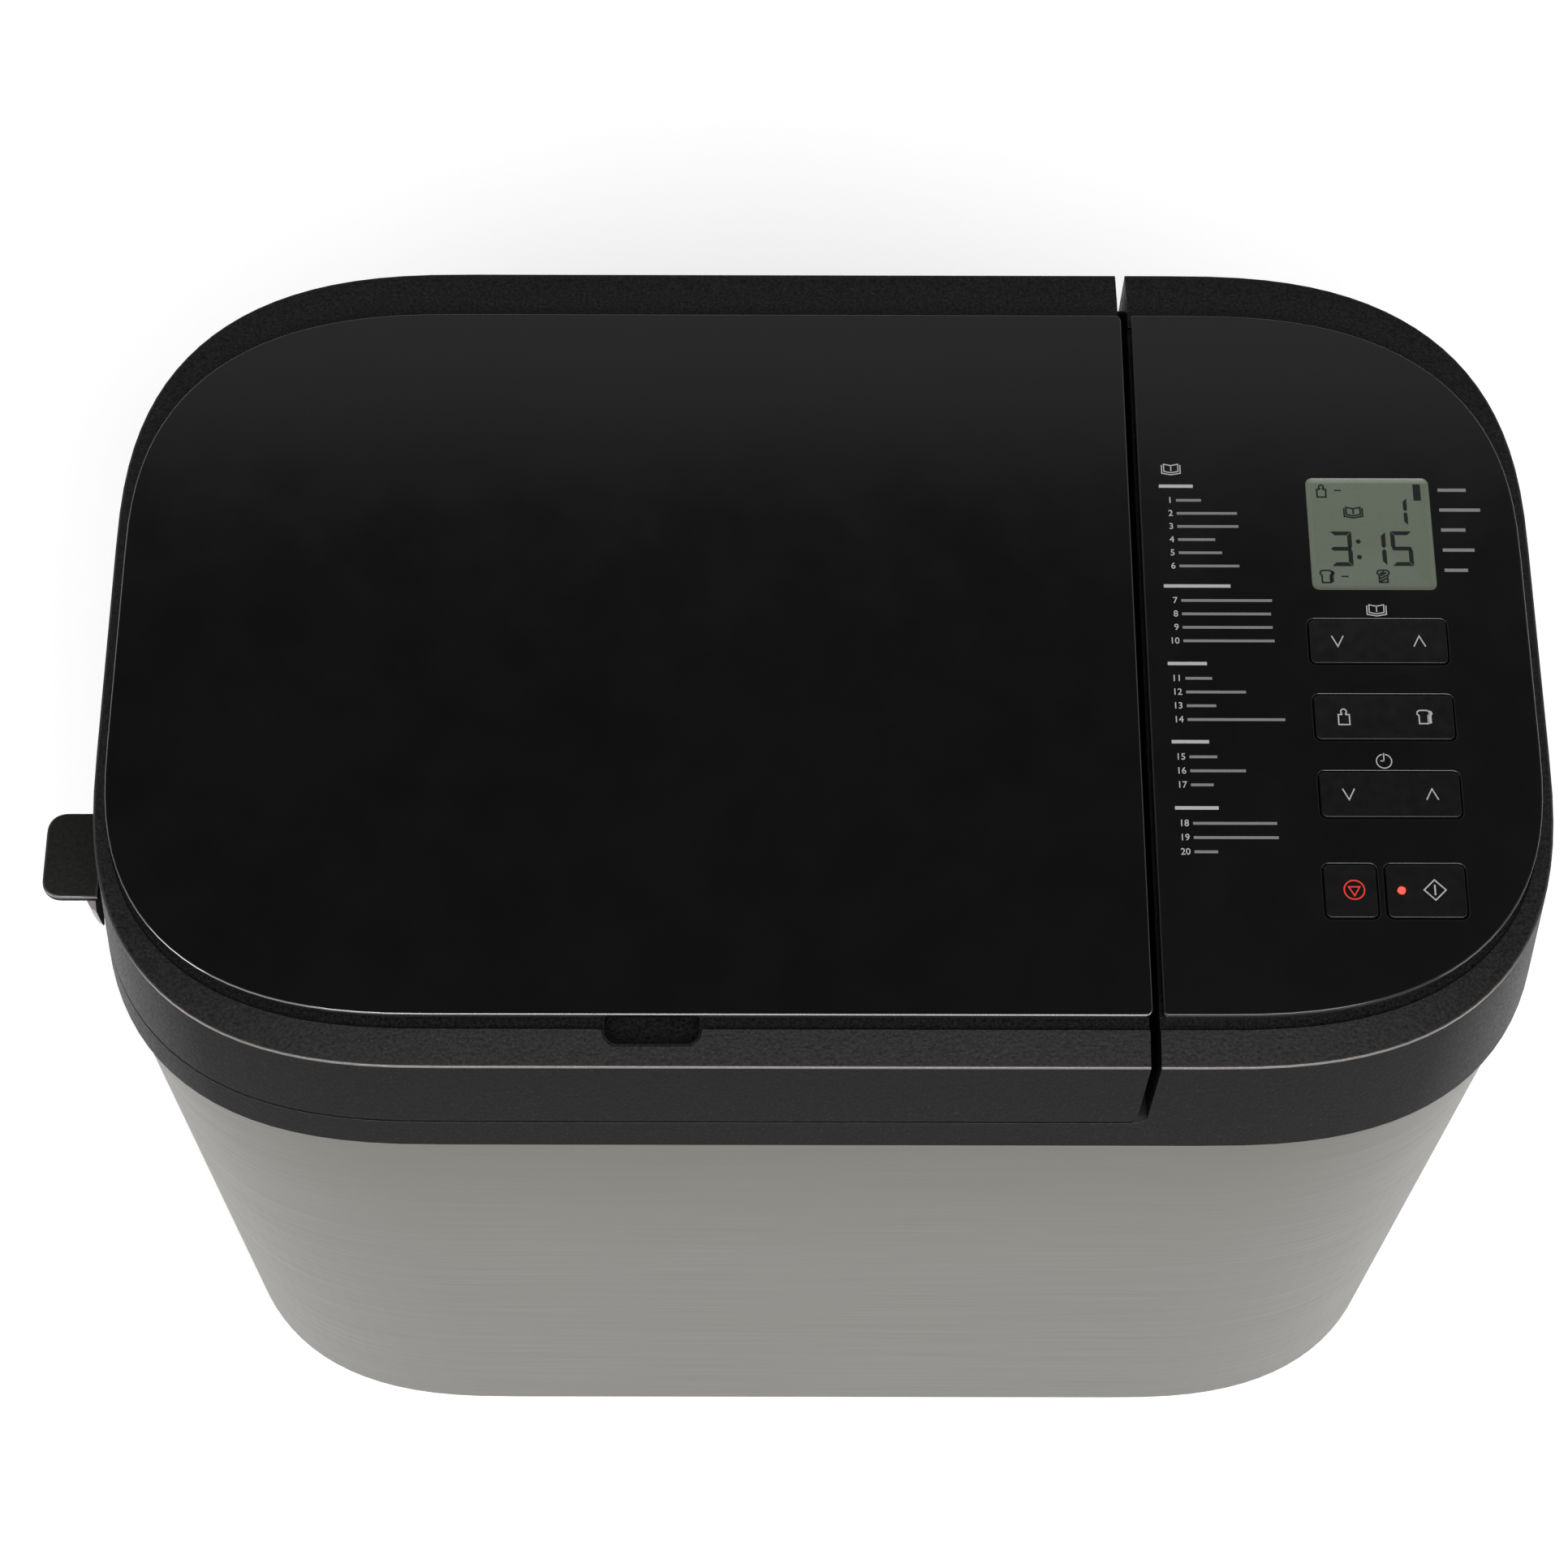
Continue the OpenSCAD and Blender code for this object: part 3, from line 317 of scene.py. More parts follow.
def fillet(points, radii, steps=8):
    """A path through points in space, with its corners rounded."""
    path = [Vector(points[0])]
    for i in range(1, len(points) - 1):
        p, r = Vector(points[i]), radii[i - 1]
        u, v = (Vector(points[i - 1]) - p).normalized(), (Vector(points[i + 1]) - p).normalized()
        half = u.angle(v) / 2
        reach = r / math.tan(half)
        centre = p + (u + v).normalized() * r / math.sin(half)
        a, b = p + u * reach - centre, p + v * reach - centre
        whole = a.angle(b)
        for k in range(steps + 1):
            t = k / steps
            out = a * math.sin((1 - t) * whole) + b * math.sin(t * whole)
            path.append(centre + out / math.sin(whole))
    path.append(Vector(points[-1]))
    return path


def tube(name, path, r):
    """A round tube along a flat path that turns about Z."""
    rings, sides = [], 14
    for i, p in enumerate(path):
        t = (path[min(i + 1, len(path) - 1)] - path[max(i - 1, 0)]).normalized()
        side, up = t.cross(Vector((0, 0, 1))).normalized(), Vector((0, 0, 1))
        turn = [2 * math.pi * k / sides for k in range(sides)]
        rings.append([p + side * r * math.cos(a) + up * r * math.sin(a) for a in turn])
    return loft(name, rings, sharp=60)


# --- Materials ------------------------------------------------------------------------------

# Ends of the noise that the mixes use
MIDDLE = (0.3, 0.7)
# How far a normal turns up on an edge that gets the painted highlight, from upright and from level
HIGHLIGHT_FOOT, HIGHLIGHT_HEAD = (0.15, 0.4), (0.985, 0.93)
# A normal's Y where an edge counts as the front, and the share of the painted highlight left elsewhere
HIGHLIGHT_FRONT, HIGHLIGHT_SIDES = (-0.62, -0.3), 0.12
# Facing values between face on and aslant, and between aslant and grazing
ASLANT, GRAZING = (0.2, 0.5), (0.74, 0.92)


def surface(name, dark, light, rough, grain, stretch=(1, 1, 1), bump=0.0, bump_grain=None,
            cloud=0.35, speck=0.0, rim=None, steep=None, around=False, **sockets):
    """A procedural finish. Fine grain and slow clouds mix two colours and vary the roughness,
    and a bump of that height in millimetres gives the grain relief. Specks are light grains.
    Edges that turn from upright to level can get a painted highlight of that grey, made metallic,
    strongest at the front and faint elsewhere. Steep gives the specular level face on, aslant and
    at grazing angles, and around lays the grain round the Z axis."""
    mat = bpy.data.materials.new(name)
    mat.use_nodes = True
    tree = mat.node_tree
    tree.nodes.clear()
    new, link = tree.nodes.new, tree.links.new
    out, shader = new("ShaderNodeOutputMaterial"), new("ShaderNodeBsdfPrincipled")
    link(shader.outputs[0], out.inputs[0])
    coords, laid = new("ShaderNodeTexCoord"), new("ShaderNodeMapping")
    link(coords.outputs["Object"], laid.inputs["Vector"])
    laid.inputs["Scale"].default_value = stretch

    def noise(scale, detail, stretched=True):
        n = new("ShaderNodeTexNoise")
        n.inputs["Scale"].default_value = scale
        n.inputs["Detail"].default_value = detail
        link(laid.outputs["Vector"] if stretched else coords.outputs["Object"], n.inputs["Vector"])
        return n.outputs["Fac"]

    def spread(value, low, high, to_low=0.0, to_high=1.0):
        m = new("ShaderNodeMapRange")
        m.inputs["From Min"].default_value, m.inputs["From Max"].default_value = low, high
        m.inputs["To Min"].default_value, m.inputs["To Max"].default_value = to_low, to_high
        link(value, m.inputs["Value"])
        return m.outputs["Result"]

    fine, slow = noise(grain, 3), noise(14, 2, False)
    mixed = new("ShaderNodeMix")
    mixed.inputs["Factor"].default_value = cloud
    link(spread(fine, *MIDDLE), mixed.inputs["A"])
    link(spread(slow, *MIDDLE), mixed.inputs["B"])
    tint = new("ShaderNodeMix")
    tint.data_type = "RGBA"
    link(mixed.outputs["Result"], tint.inputs["Factor"])
    tint.inputs["A"].default_value, tint.inputs["B"].default_value = (*dark, 1), (*light, 1)
    colour = tint.outputs["Result"]
    if speck:
        dots = new("ShaderNodeMix")
        dots.data_type = "RGBA"
        dots.blend_type = "ADD"
        link(spread(noise(grain * 1.7, 1), 0.62, 0.75), dots.inputs["Factor"])
        link(colour, dots.inputs["A"])
        dots.inputs["B"].default_value = (speck, speck, speck, 1)
        colour = dots.outputs["Result"]
    # Painted highlight: front-facing rounded edges are mixed towards the rim grey and made metallic,
    # standing in for reflected light
    if rim:
        parts = new("ShaderNodeSeparateXYZ")
        link(coords.outputs["Normal"], parts.inputs[0])
        up = parts.outputs["Z"]
        edge, front = new("ShaderNodeMath"), new("ShaderNodeMath")
        edge.operation = front.operation = "MULTIPLY"
        link(spread(up, *HIGHLIGHT_FOOT), edge.inputs[0])
        link(spread(up, *HIGHLIGHT_HEAD), edge.inputs[1])
        link(edge.outputs["Value"], front.inputs[0])
        link(spread(parts.outputs["Y"], *HIGHLIGHT_FRONT, 1, HIGHLIGHT_SIDES), front.inputs[1])
        highlight_mix = new("ShaderNodeMix")
        highlight_mix.data_type = "RGBA"
        link(front.outputs["Value"], highlight_mix.inputs["Factor"])
        link(colour, highlight_mix.inputs["A"])
        highlight_mix.inputs["B"].default_value = (*rim, 1)
        colour = highlight_mix.outputs["Result"]
        link(front.outputs["Value"], shader.inputs["Metallic"])
    if steep:
        view = new("ShaderNodeLayerWeight")
        view.inputs["Blend"].default_value = 0.5
        aslant = view.outputs["Facing"]
        level = new("ShaderNodeMath")
        level.operation = "ADD"
        link(spread(aslant, *ASLANT, steep[0], steep[1]), level.inputs[0])
        link(spread(aslant, *GRAZING, 0, steep[2] - steep[1]), level.inputs[1])
        link(level.outputs["Value"], shader.inputs["Specular IOR Level"])
    if around:
        tangent = new("ShaderNodeTangent")
        tangent.direction_type, tangent.axis = "RADIAL", "Z"
        link(tangent.outputs["Tangent"], shader.inputs["Tangent"])
    link(colour, shader.inputs["Base Color"])
    link(spread(fine, *MIDDLE, *rough), shader.inputs["Roughness"])
    if bump:
        relief = new("ShaderNodeBump")
        relief.inputs["Distance"].default_value = bump * MM
        link(noise(bump_grain or grain, 2), relief.inputs["Height"])
        link(relief.outputs["Normal"], shader.inputs["Normal"])
    for socket, value in sockets.items():
        shader.inputs[socket.replace("_", " ")].default_value = value
    return mat


def grey(v, tint=(1, 1, 1)):
    return tuple(v * t for t in tint)


def paint(obj, mat):
    obj.data.materials.clear()
    obj.data.materials.append(mat)
    return obj


# Tints of a grey, one of them for the painted light on the grip's bracket, and the stretch that turns noise
# into brush marks round the body
WARM, PAINTED_LIT_TINT, IVORY = (1.0, 0.94, 0.8), (1, 0.93, 0.9), (1, 1, 0.96)
BRUSH = (0.012, 0.012, 1)
FINISH = {
    "steel_skin": surface("brushed_stainless", grey(0.099, WARM), grey(0.119, WARM), (0.29, 0.36), 1300,
                          stretch=BRUSH, bump=0.003, cloud=0.15, around=True, Metallic=1.0, Anisotropic=0.7,
                          Anisotropic_Rotation=0.25),
    # The charcoal, grained black, gloss black and control finishes mix a painted highlight of their rim
    # grey into their edges, strongest at the front
    "charcoal": surface("textured_charcoal_painted_edge", (0.0015, 0.0012, 0.0013), (0.0115, 0.0103, 0.0108),
                        (0.36, 0.5), 1200, stretch=(1, 1, 0.45), bump=0.1, bump_grain=1000, cloud=0.05,
                        speck=0.014, rim=(0.22, 0.21, 0.2), steep=(0.21, 0.01, 0.05)),
    # The grip's bracket is charcoal, painted a lighter, warmer grey to stand in for light falling on it
    "painted_lit_bracket": surface("charcoal_painted_lit", grey(0.24, PAINTED_LIT_TINT), grey(0.3, PAINTED_LIT_TINT), (0.45, 0.55), 1200,
                            bump=0.05),
    "grip_black": surface("grained_black_painted_edge", (0.004, 0.004, 0.0034), (0.0085, 0.0082, 0.0068),
                          (0.4, 0.55), 900, bump=0.12, bump_grain=700, rim=grey(0.2),
                          steep=(0.25, 0.05, 0.1)),
    "gloss_black": surface("polished_black_painted_edge", grey(0.0035), grey(0.0047), (0.07, 0.11), 60, bump=0.002,
                           bump_grain=40, rim=grey(0.3)),
    "control_black": surface("control_gloss_painted_edge", grey(0.004), grey(0.0055), (0.07, 0.11), 60, bump=0.002,
                             bump_grain=40, rim=grey(0.06)),
    "key_black": surface("key_gloss", grey(0.0055), grey(0.0075), (0.12, 0.18), 300, bump=0.002),
    "display": surface("display_glass", (0.096, 0.112, 0.084), (0.101, 0.118, 0.089), (0.25, 0.3), 900,
                       cloud=0.8, Coat_Weight=0.4),
    "segment": surface("display_segment", (0.004, 0.0055, 0.0055), (0.007, 0.009, 0.009), (0.3, 0.4), 2000),
    "legend": surface("printed_legend", grey(0.3), grey(0.36), (0.5, 0.6), 3000),
    "faint": surface("faint_legend", grey(0.13), grey(0.17), (0.5, 0.6), 3000),
    "legend_red": surface("printed_red", (0.55, 0.02, 0.015), (0.7, 0.04, 0.03), (0.4, 0.5), 3000),
    "led_red": surface("red_lens", (0.8, 0.06, 0.05), (1, 0.14, 0.1), (0.2, 0.3), 2000,
                       Emission_Color=(1, 0.1, 0.07, 1), Emission_Strength=0.35),
    "circuit_green": surface("circuit_board", (0.012, 0.07, 0.03), (0.03, 0.16, 0.07), (0.35, 0.5), 500),
    "switch_grey": surface("switch_body", grey(0.18), grey(0.26), (0.5, 0.6), 1500),
    "plated_sheet": surface("plated_sheet", grey(0.5), grey(0.64), (0.28, 0.42), 90, cloud=0.5,
                            bump=0.01, bump_grain=300, Metallic=1.0),
    "chassis_steel": surface("galvanised_steel", grey(0.34), grey(0.5), (0.35, 0.5), 120, Metallic=1.0),
    "heater_sheath": surface("heat_tinted_tube", (0.12, 0.09, 0.08), (0.24, 0.2, 0.19), (0.35, 0.5), 200,
                             bump=0.02, bump_grain=2000, Metallic=1.0),
    "probe_steel": surface("turned_steel", grey(0.45), grey(0.62), (0.25, 0.35), 1500,
                           stretch=(1, 1, 0.05), Metallic=1.0),
    "ceramic_white": surface("white_ceramic", grey(0.6), grey(0.75), (0.25, 0.4), 400),
    "bronze": surface("sintered_bronze", (0.38, 0.22, 0.09), (0.55, 0.36, 0.16), (0.4, 0.55), 2500,
                      bump=0.02, Metallic=1.0),
    "coupling_metal": surface("die_cast", grey(0.36), grey(0.48), (0.4, 0.55), 1200, bump=0.02,
                              Metallic=1.0),
    "pulley_plastic": surface("filled_nylon", grey(0.03), grey(0.05), (0.5, 0.65), 1200, bump=0.02),
    "pulley_metal": surface("turned_pulley", grey(0.42), grey(0.56), (0.25, 0.4), 1500,
                            stretch=(0.1, 0.1, 1), Metallic=1.0),
    "belt_rubber": surface("belt_rubber", grey(0.012), grey(0.022), (0.6, 0.75), 1500, bump=0.05),
    "motor_steel": surface("laminated_core", grey(0.1), grey(0.2), (0.4, 0.55), 1500,
                           stretch=(0.02, 0.02, 1), bump=0.03, Metallic=0.8),
    "capacitor_shell": surface("pale_shell", grey(0.5), grey(0.58), (0.4, 0.5), 500),
    "gland_black": surface("gland_rubber", grey(0.012), grey(0.02), (0.5, 0.65), 1200, bump=0.03),
    "foot_rubber": surface("foot_rubber", grey(0.015), grey(0.028), (0.65, 0.8), 1800, bump=0.05),
    "pan_coat": surface("non_stick_coat", (0.024, 0.024, 0.026), (0.045, 0.045, 0.048), (0.34, 0.48), 2600,
                        bump=0.03, speck=0.05),
    "pan_ring": surface("cast_aluminium", grey(0.4), grey(0.55), (0.4, 0.55), 1500, bump=0.03,
                        Metallic=1.0),
    "seal_rubber": surface("silicone_seal", grey(0.07), grey(0.11), (0.55, 0.7), 900, bump=0.02),
    "handle_wire": surface("plated_wire", grey(0.5), grey(0.62), (0.16, 0.26), 900, Metallic=1.0),
    "lid_plate": surface("pressed_aluminium", grey(0.48), grey(0.6), (0.3, 0.42), 2400,
                         stretch=(0.03, 1, 1), bump=0.006, Metallic=1.0),
    "dispenser_plastic": surface("pale_moulding", grey(0.42, IVORY), grey(0.5, IVORY), (0.45, 0.55), 900,
                                 bump=0.015),
    "coil_copper": surface("wound_copper", (0.32, 0.13, 0.05), (0.5, 0.22, 0.09), (0.3, 0.45), 2600,
                           stretch=(1, 0.1, 0.1), bump=0.05, Metallic=0.8),
}
FINISH["clear_window"] = FINISH["display"]


def place(obj, body, finish, replaced=()):
    """Gives a piece its finish, its body and the CAD nodes that it stands for."""
    paint(obj, FINISH[finish])
    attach(obj, body)
    if replaced:
        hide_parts(*replaced)
    return obj


# --- Camera and light -----------------------------------------------------------------------

CAM_PLACE = Vector((-12.412, -426.045, 1199.873)) * MM
CAM_PITCH, CAM_YAW, CAM_ROLL = math.radians(65.495), math.radians(0.251), math.radians(0.344)
cam = bpy.data.cameras.new("camera")
cam.sensor_width, cam.lens = 36, 78.9
cam.clip_start, cam.clip_end = 0.05, 60
camera = bpy.data.objects.new("camera", cam)
bpy.context.scene.collection.objects.link(camera)
forward = Vector((math.sin(CAM_YAW) * math.cos(CAM_PITCH), math.cos(CAM_YAW) * math.cos(CAM_PITCH),
                  -math.sin(CAM_PITCH)))
level = forward.cross(Vector((0, 0, 1))).normalized()
upright = level.cross(forward)
right = level * math.cos(CAM_ROLL) + upright * math.sin(CAM_ROLL)
top = upright * math.cos(CAM_ROLL) - level * math.sin(CAM_ROLL)
turn = Matrix((right, top, -forward)).transposed().to_4x4()
camera.matrix_world = Matrix.Translation(CAM_PLACE) @ turn
bpy.context.scene.camera = camera
bpy.context.scene.view_settings.view_transform = "Standard"


def softbox(name, at, aim, size, power):
    light = bpy.data.lights.new(name, "AREA")
    light.shape, light.size, light.size_y = "RECTANGLE", *size
    light.energy = power
    obj = bpy.data.objects.new(name, light)
    obj.location = at
    obj.rotation_euler = (Vector(aim) - Vector(at)).to_track_quat("-Z", "Y").to_euler()
    bpy.context.scene.collection.objects.link(obj)


# Brightness of the studio against how far a direction leans to the back, as Y over Z
LEAN = [(-1.0, 0.62), (0.05, 0.85), (0.28, 0.03), (0.5, 0.02), (0.56, 0.06), (0.6, 0.36),
        (0.65, 0.5), (0.8, 0.3), (2.0, 0.3)]


def sky():
    """Pale walls, with a dark strip in the ceiling that the level panels reflect."""
    world = bpy.data.worlds.new("studio")
    bpy.context.scene.world = world
    world.use_nodes = True
    tree = world.node_tree
    tree.nodes.clear()
    new, link = tree.nodes.new, tree.links.new
    out, back = new("ShaderNodeOutputWorld"), new("ShaderNodeBackground")
    coord, split = new("ShaderNodeTexCoord"), new("ShaderNodeSeparateXYZ")
    link(coord.outputs["Generated"], split.inputs[0])
    flat = new("ShaderNodeMath")
    flat.operation = "MAXIMUM"
    flat.inputs[1].default_value = 0.05
    link(split.outputs["Z"], flat.inputs[0])
    lean = new("ShaderNodeMath")
    lean.operation = "DIVIDE"
    link(split.outputs["Y"], lean.inputs[0])
    link(flat.outputs["Value"], lean.inputs[1])
    span = new("ShaderNodeMapRange")
    span.inputs["From Min"].default_value, span.inputs["From Max"].default_value = LEAN[0][0], LEAN[-1][0]
    link(lean.outputs["Value"], span.inputs["Value"])
    ramp = new("ShaderNodeValToRGB")
    link(span.outputs["Result"], ramp.inputs["Fac"])
    reach = LEAN[-1][0] - LEAN[0][0]
    for at, _ in LEAN[1:-1]:
        ramp.color_ramp.elements.new((at - LEAN[0][0]) / reach)
    for element, (at, v) in zip(ramp.color_ramp.elements, LEAN):
        element.color = (v, v, v, 1)
    link(ramp.outputs["Color"], back.inputs["Color"])
    back.inputs["Strength"].default_value = 1.0
    link(back.outputs[0], out.inputs[0])


sky()
softbox("key", (0.1, -1.3, 2.2), (0, 0, 0.3), (1.8, 1.0), 46)
softbox("fill_left", (-2.0, -1.1, 0.55), (0, 0, 0.2), (0.9, 0.9), 13)
softbox("fill_right", (2.0, -1.1, 0.55), (0, 0, 0.2), (0.9, 0.9), 10)

floor_bm = bmesh.new()
bmesh.ops.create_grid(floor_bm, x_segments=2, y_segments=2, size=12 / MM)
floor = new_mesh("floor", floor_bm)
paint(floor, surface("pale_floor", grey(0.9), grey(0.92), (0.75, 0.85), 4,
                     Emission_Color=(1, 1, 1, 1), Emission_Strength=0.25))

# --- Case -----------------------------------------------------------------------------------


def case_skin():
    """Steel wrapped round the body, with the gland's hole and the vents in its back."""
    out, thin = SKIN_INSET, SKIN_INSET + SKIN_T
    profile = [(out, SKIN_Z + 0.4), (out, BAND_Z), (thin, BAND_Z), (thin, SKIN_Z + 0.4),
               (thin - 0.2, SKIN_Z + 0.05), (out + 0.2, SKIN_Z + 0.05)]
    skin = loft("steel_wrap", [[(x, y, z) for x, y in body_plan(d)] for d, z in profile], closed=True)
    tools = [rod("tool", "y", 80, 28, 9, 100, 140)]
    for i in range(7):
        z = 61.75 + 9 * i
        slot_plan = shift(outline(48, 3.5, 1.74, 1.74, steps=5), 44, z)
        tools.append(prism("tool", slot_plan, "y", 100, 140))
    return place(boolean(skin, tools), "housing", "steel_skin", ["body_wrap"])


RIM_PROFILE = [(0, RIM_Z - 2.55), (0.05, RIM_Z - 2.25), (0.2, RIM_Z - 2.0), (0.45, RIM_Z - 1.85),
               (0.75, RIM_Z - 1.78), (10, RIM_Z)]


def upper_frame():
    """Dark band round the body, tray under the lid and raised control section on the right."""
    case = body_solid("upper_frame", [(0.5, BAND_Z), (0, BAND_Z + 0.5)] + RIM_PROFILE)
    fold, z = 5, SEAM_Z + 5
    side = [(-FAR, SEAM_Z)] + arc(CTL_LEFT - fold, z, fold, -90, 0, 8) + [(CTL_LEFT, FAR), (-FAR, FAR)]
    low_case = solid("tool", body_plan(WALL_T + 1.6), [(0, BAND_Z - 1), (0, TRAY_Z)])
    tray = solid("tool", left_part(rim_plan(WALL_T), CTL_LEFT, 0.5),
                 [(0, TRAY_Z + TRAY_T), (0, SEAM_Z + 1)])
    hollow = solid("tool", right_part(rim_plan(WALL_T), CTL_LEFT + WALL_T),
                   [(0, TRAY_Z - 1), (0, DECK_Z - DECK_T)])
    under = solid("tool", right_part(panel_plan(6), CTL_LEFT + WALL_T),
                  [(0, DECK_Z - DECK_T - 1), (0, FAR)])
    seat = solid("tool", right_part(panel_plan(-1), CTL_LEFT - 2, 0.2), [(0, DECK_Z), (0, FAR)])
    mouth = solid("tool", shift(outline(OVEN_W, OVEN_D, OVEN_R, OVEN_R, steps=12), OVEN_X, 0),
                  [(0, BAND_Z - 1), (0, SEAM_Z + 1)])
    relief = cuboid("tool", (-150, HINGE_Y - 8, SEAM_Z - 1.5), (CTL_LEFT, FAR, SEAM_Z + 0.5))
    boolean(case, [prism("tool", side, "y", -FAR, FAR), low_case, tray, hollow, under, seat, mouth, relief])
    web = cuboid("tool", (LID_RIGHT + 0.3, WEB_FRONT, SEAM_Z - 2), (CTL_LEFT + 1, WEB_BACK, WEB_TOP))
    boolean(case, [web], "UNION")
    soften(case, 0.4)
    return place(case, "housing", "charcoal", ["top_frame"])


def knuckle(name, x0, x1, y, z, r, base):
    """An upright hinge lug with a round top."""
    return prism(name, [(y - r, base), (y + r, base)] + arc(y, z, r, 0, 180, 12), "x", x0, x1)


def hinge_lugs():
    for i, x in enumerate(HINGE_X):
        half = LUG_W / 2
        lug = knuckle(f"hinge_lug_{i}", x - half, x + half, HINGE_Y, HINGE_Z, LUG_R, TRAY_Z + 1)
        place(soften(lug, 0.4), "housing", "charcoal")
    for i, x in enumerate(FLIP_X):
        half = FLIP_W / 2
        lug = knuckle(f"flip_lug_{i}", x - half, x + half, FLIP_Y, FLIP_Z, FLIP_R, DECK_Z - 1)
        place(soften(lug, 0.3), "lid", "charcoal")


case_skin()
upper_frame()
hinge_lugs()

# --- Lid ------------------------------------------------------------------------------------

NOTCH_X, NOTCH_W, NOTCH_FRONT, NOTCH_BACK = -45.4, 25, -114.2, -103
# Behind this Y the panel's seat is wider, for its skirt to swing down in
TROUGH_Y, TROUGH_OUT = 98, 3.8


def lid_shell():
    lid = body_solid("lid_cover", [(0.2, LID_LOW + 0.6), (0, LID_LOW + 0.8)] + RIM_PROFILE)
    bend = 4.5
    start = LID_RIGHT - 2 * bend
    side = ([(-FAR, FAR), (-FAR, LID_LOW - 1), (start, LID_LOW - 1), (start, LID_LOW)]
            + arc(LID_RIGHT - bend, LID_LOW + bend, bend, -90, 0, 8) + [(LID_RIGHT, FAR)])
    boolean(lid, [prism("tool", side, "y", -FAR, FAR)], "INTERSECT")
    inside = solid("tool", left_part(rim_plan(WALL_T), LID_RIGHT - WALL_T, 1),
                   [(0, LID_LOW - 1), (0, DECK_Z - DECK_T)])
    seat = solid("tool", left_part(panel_plan(-1), LID_RIGHT + 2, 0.2), [(0, DECK_Z), (0, FAR)])
    rear = [p for p in panel_plan(-TROUGH_OUT) if p[1] > TROUGH_Y]
    trough = solid("tool", left_part(rear, LID_RIGHT + 2, 0.2), [(0, DECK_Z), (0, FAR)])
    boolean(lid, [inside, seat, trough])
    cup = block("tool", NOTCH_X, -110, NOTCH_W + 4, 17, 2, DECK_Z - 8, DECK_Z - DECK_T + 1)
    boolean(lid, [cup], "UNION")
    middle, depth = (NOTCH_FRONT + NOTCH_BACK) / 2, NOTCH_BACK - NOTCH_FRONT
    tools = [block("tool", NOTCH_X, middle, NOTCH_W, depth, 3.6, DECK_Z - 6, FAR),
             block("tool", NOTCH_X, middle, NOTCH_W + 1.5, depth + 1.5, 4.2, RIM_Z - 0.9, FAR),
             block("tool", RAISIN_X, 0, 60, 100, 3, DECK_Z - 10, FAR),
             drum("tool", YEAST_X, 0, 20, DECK_Z - 10, FAR),
             cuboid("tool", (-FAR, -50.8, 309.4), (-190, -36.8, 312.2))]
    for x in HINGE_X:
        half = LUG_W / 2 + 0.5
        tools.append(cuboid("tool", (x - half, HINGE_Y - 4.5, LID_LOW - 1), (x + half, FAR, HINGE_Z + 5)))
    boolean(lid, tools)
    soften(lid, 0.4)
    place(lid, "lid", "charcoal", ["lid_shell"])
    for i, x in enumerate(HINGE_X):
        for s in (-1, 1):
            at = x + s * (LUG_W / 2 + 3)
            ear = cuboid(f"lid_ear_{i}{'ab'[s > 0]}", (at - 2.5, HINGE_Y - 5, LID_LOW + 2),
                         (at + 2.5, HINGE_Y + 1, HINGE_Z + 7))
            place(soften(ear, 0.4), "lid", "charcoal")


def skirt(name, plan, z0, z1):
    """A thin upright wall round a plan, hanging under a panel."""
    rings = rings_of(plan, [(0.3, z0), (0, z0 + 0.3), (0, z1), (2, z1), (2, z0 + 0.3), (1.7, z0)])
    return loft(name, rings, closed=True)


def lid_panel():
    """Glossy black panel that opens over the dispensers."""
    plan = left_part(panel_plan(), LID_RIGHT, 2)
    panel = solid("lid_panel", plan, rounded(SKIN_LOW, PANEL_Z, 0.25, 0.45))
    place(flatten(panel), "dispenser_cover", "gloss_black", ["dispenser_lid"])
    hem = skirt("lid_panel_skirt", left_part(panel_plan(3), LID_RIGHT - 1.2, 3), DECK_Z + 1.4, SKIN_LOW)
    tools = [cuboid("tool", (x - 10, 90, 300), (x + 10, FAR, 370)) for x in FLIP_X]
    place(boolean(hem, tools), "dispenser_cover", "gloss_black")
    for i, x in enumerate(FLIP_X):
        for s in (-1, 1):
            at, name = x + 5.2 * s, f"lid_panel_ear_{i}{'ab'[s > 0]}"
            ear = prism(name, [(FLIP_Y - 2.6, FLIP_Z - 2.1), (FLIP_Y + 2.1, FLIP_Z - 2.1),
                        (FLIP_Y + 2.1, SKIN_LOW), (FLIP_Y - 2.6, SKIN_LOW)], "x", at - 2.2, at + 2.2)
            place(soften(ear, 0.2), "dispenser_cover", "gloss_black")


def left_half(points, x):
    """The half of a plan left of its middle x, closed by a straight side."""
    low, high = min(p[1] for p in points), max(p[1] for p in points)
    return [(x, high)] + [p for p in points if p[0] < x] + [(x, low)]


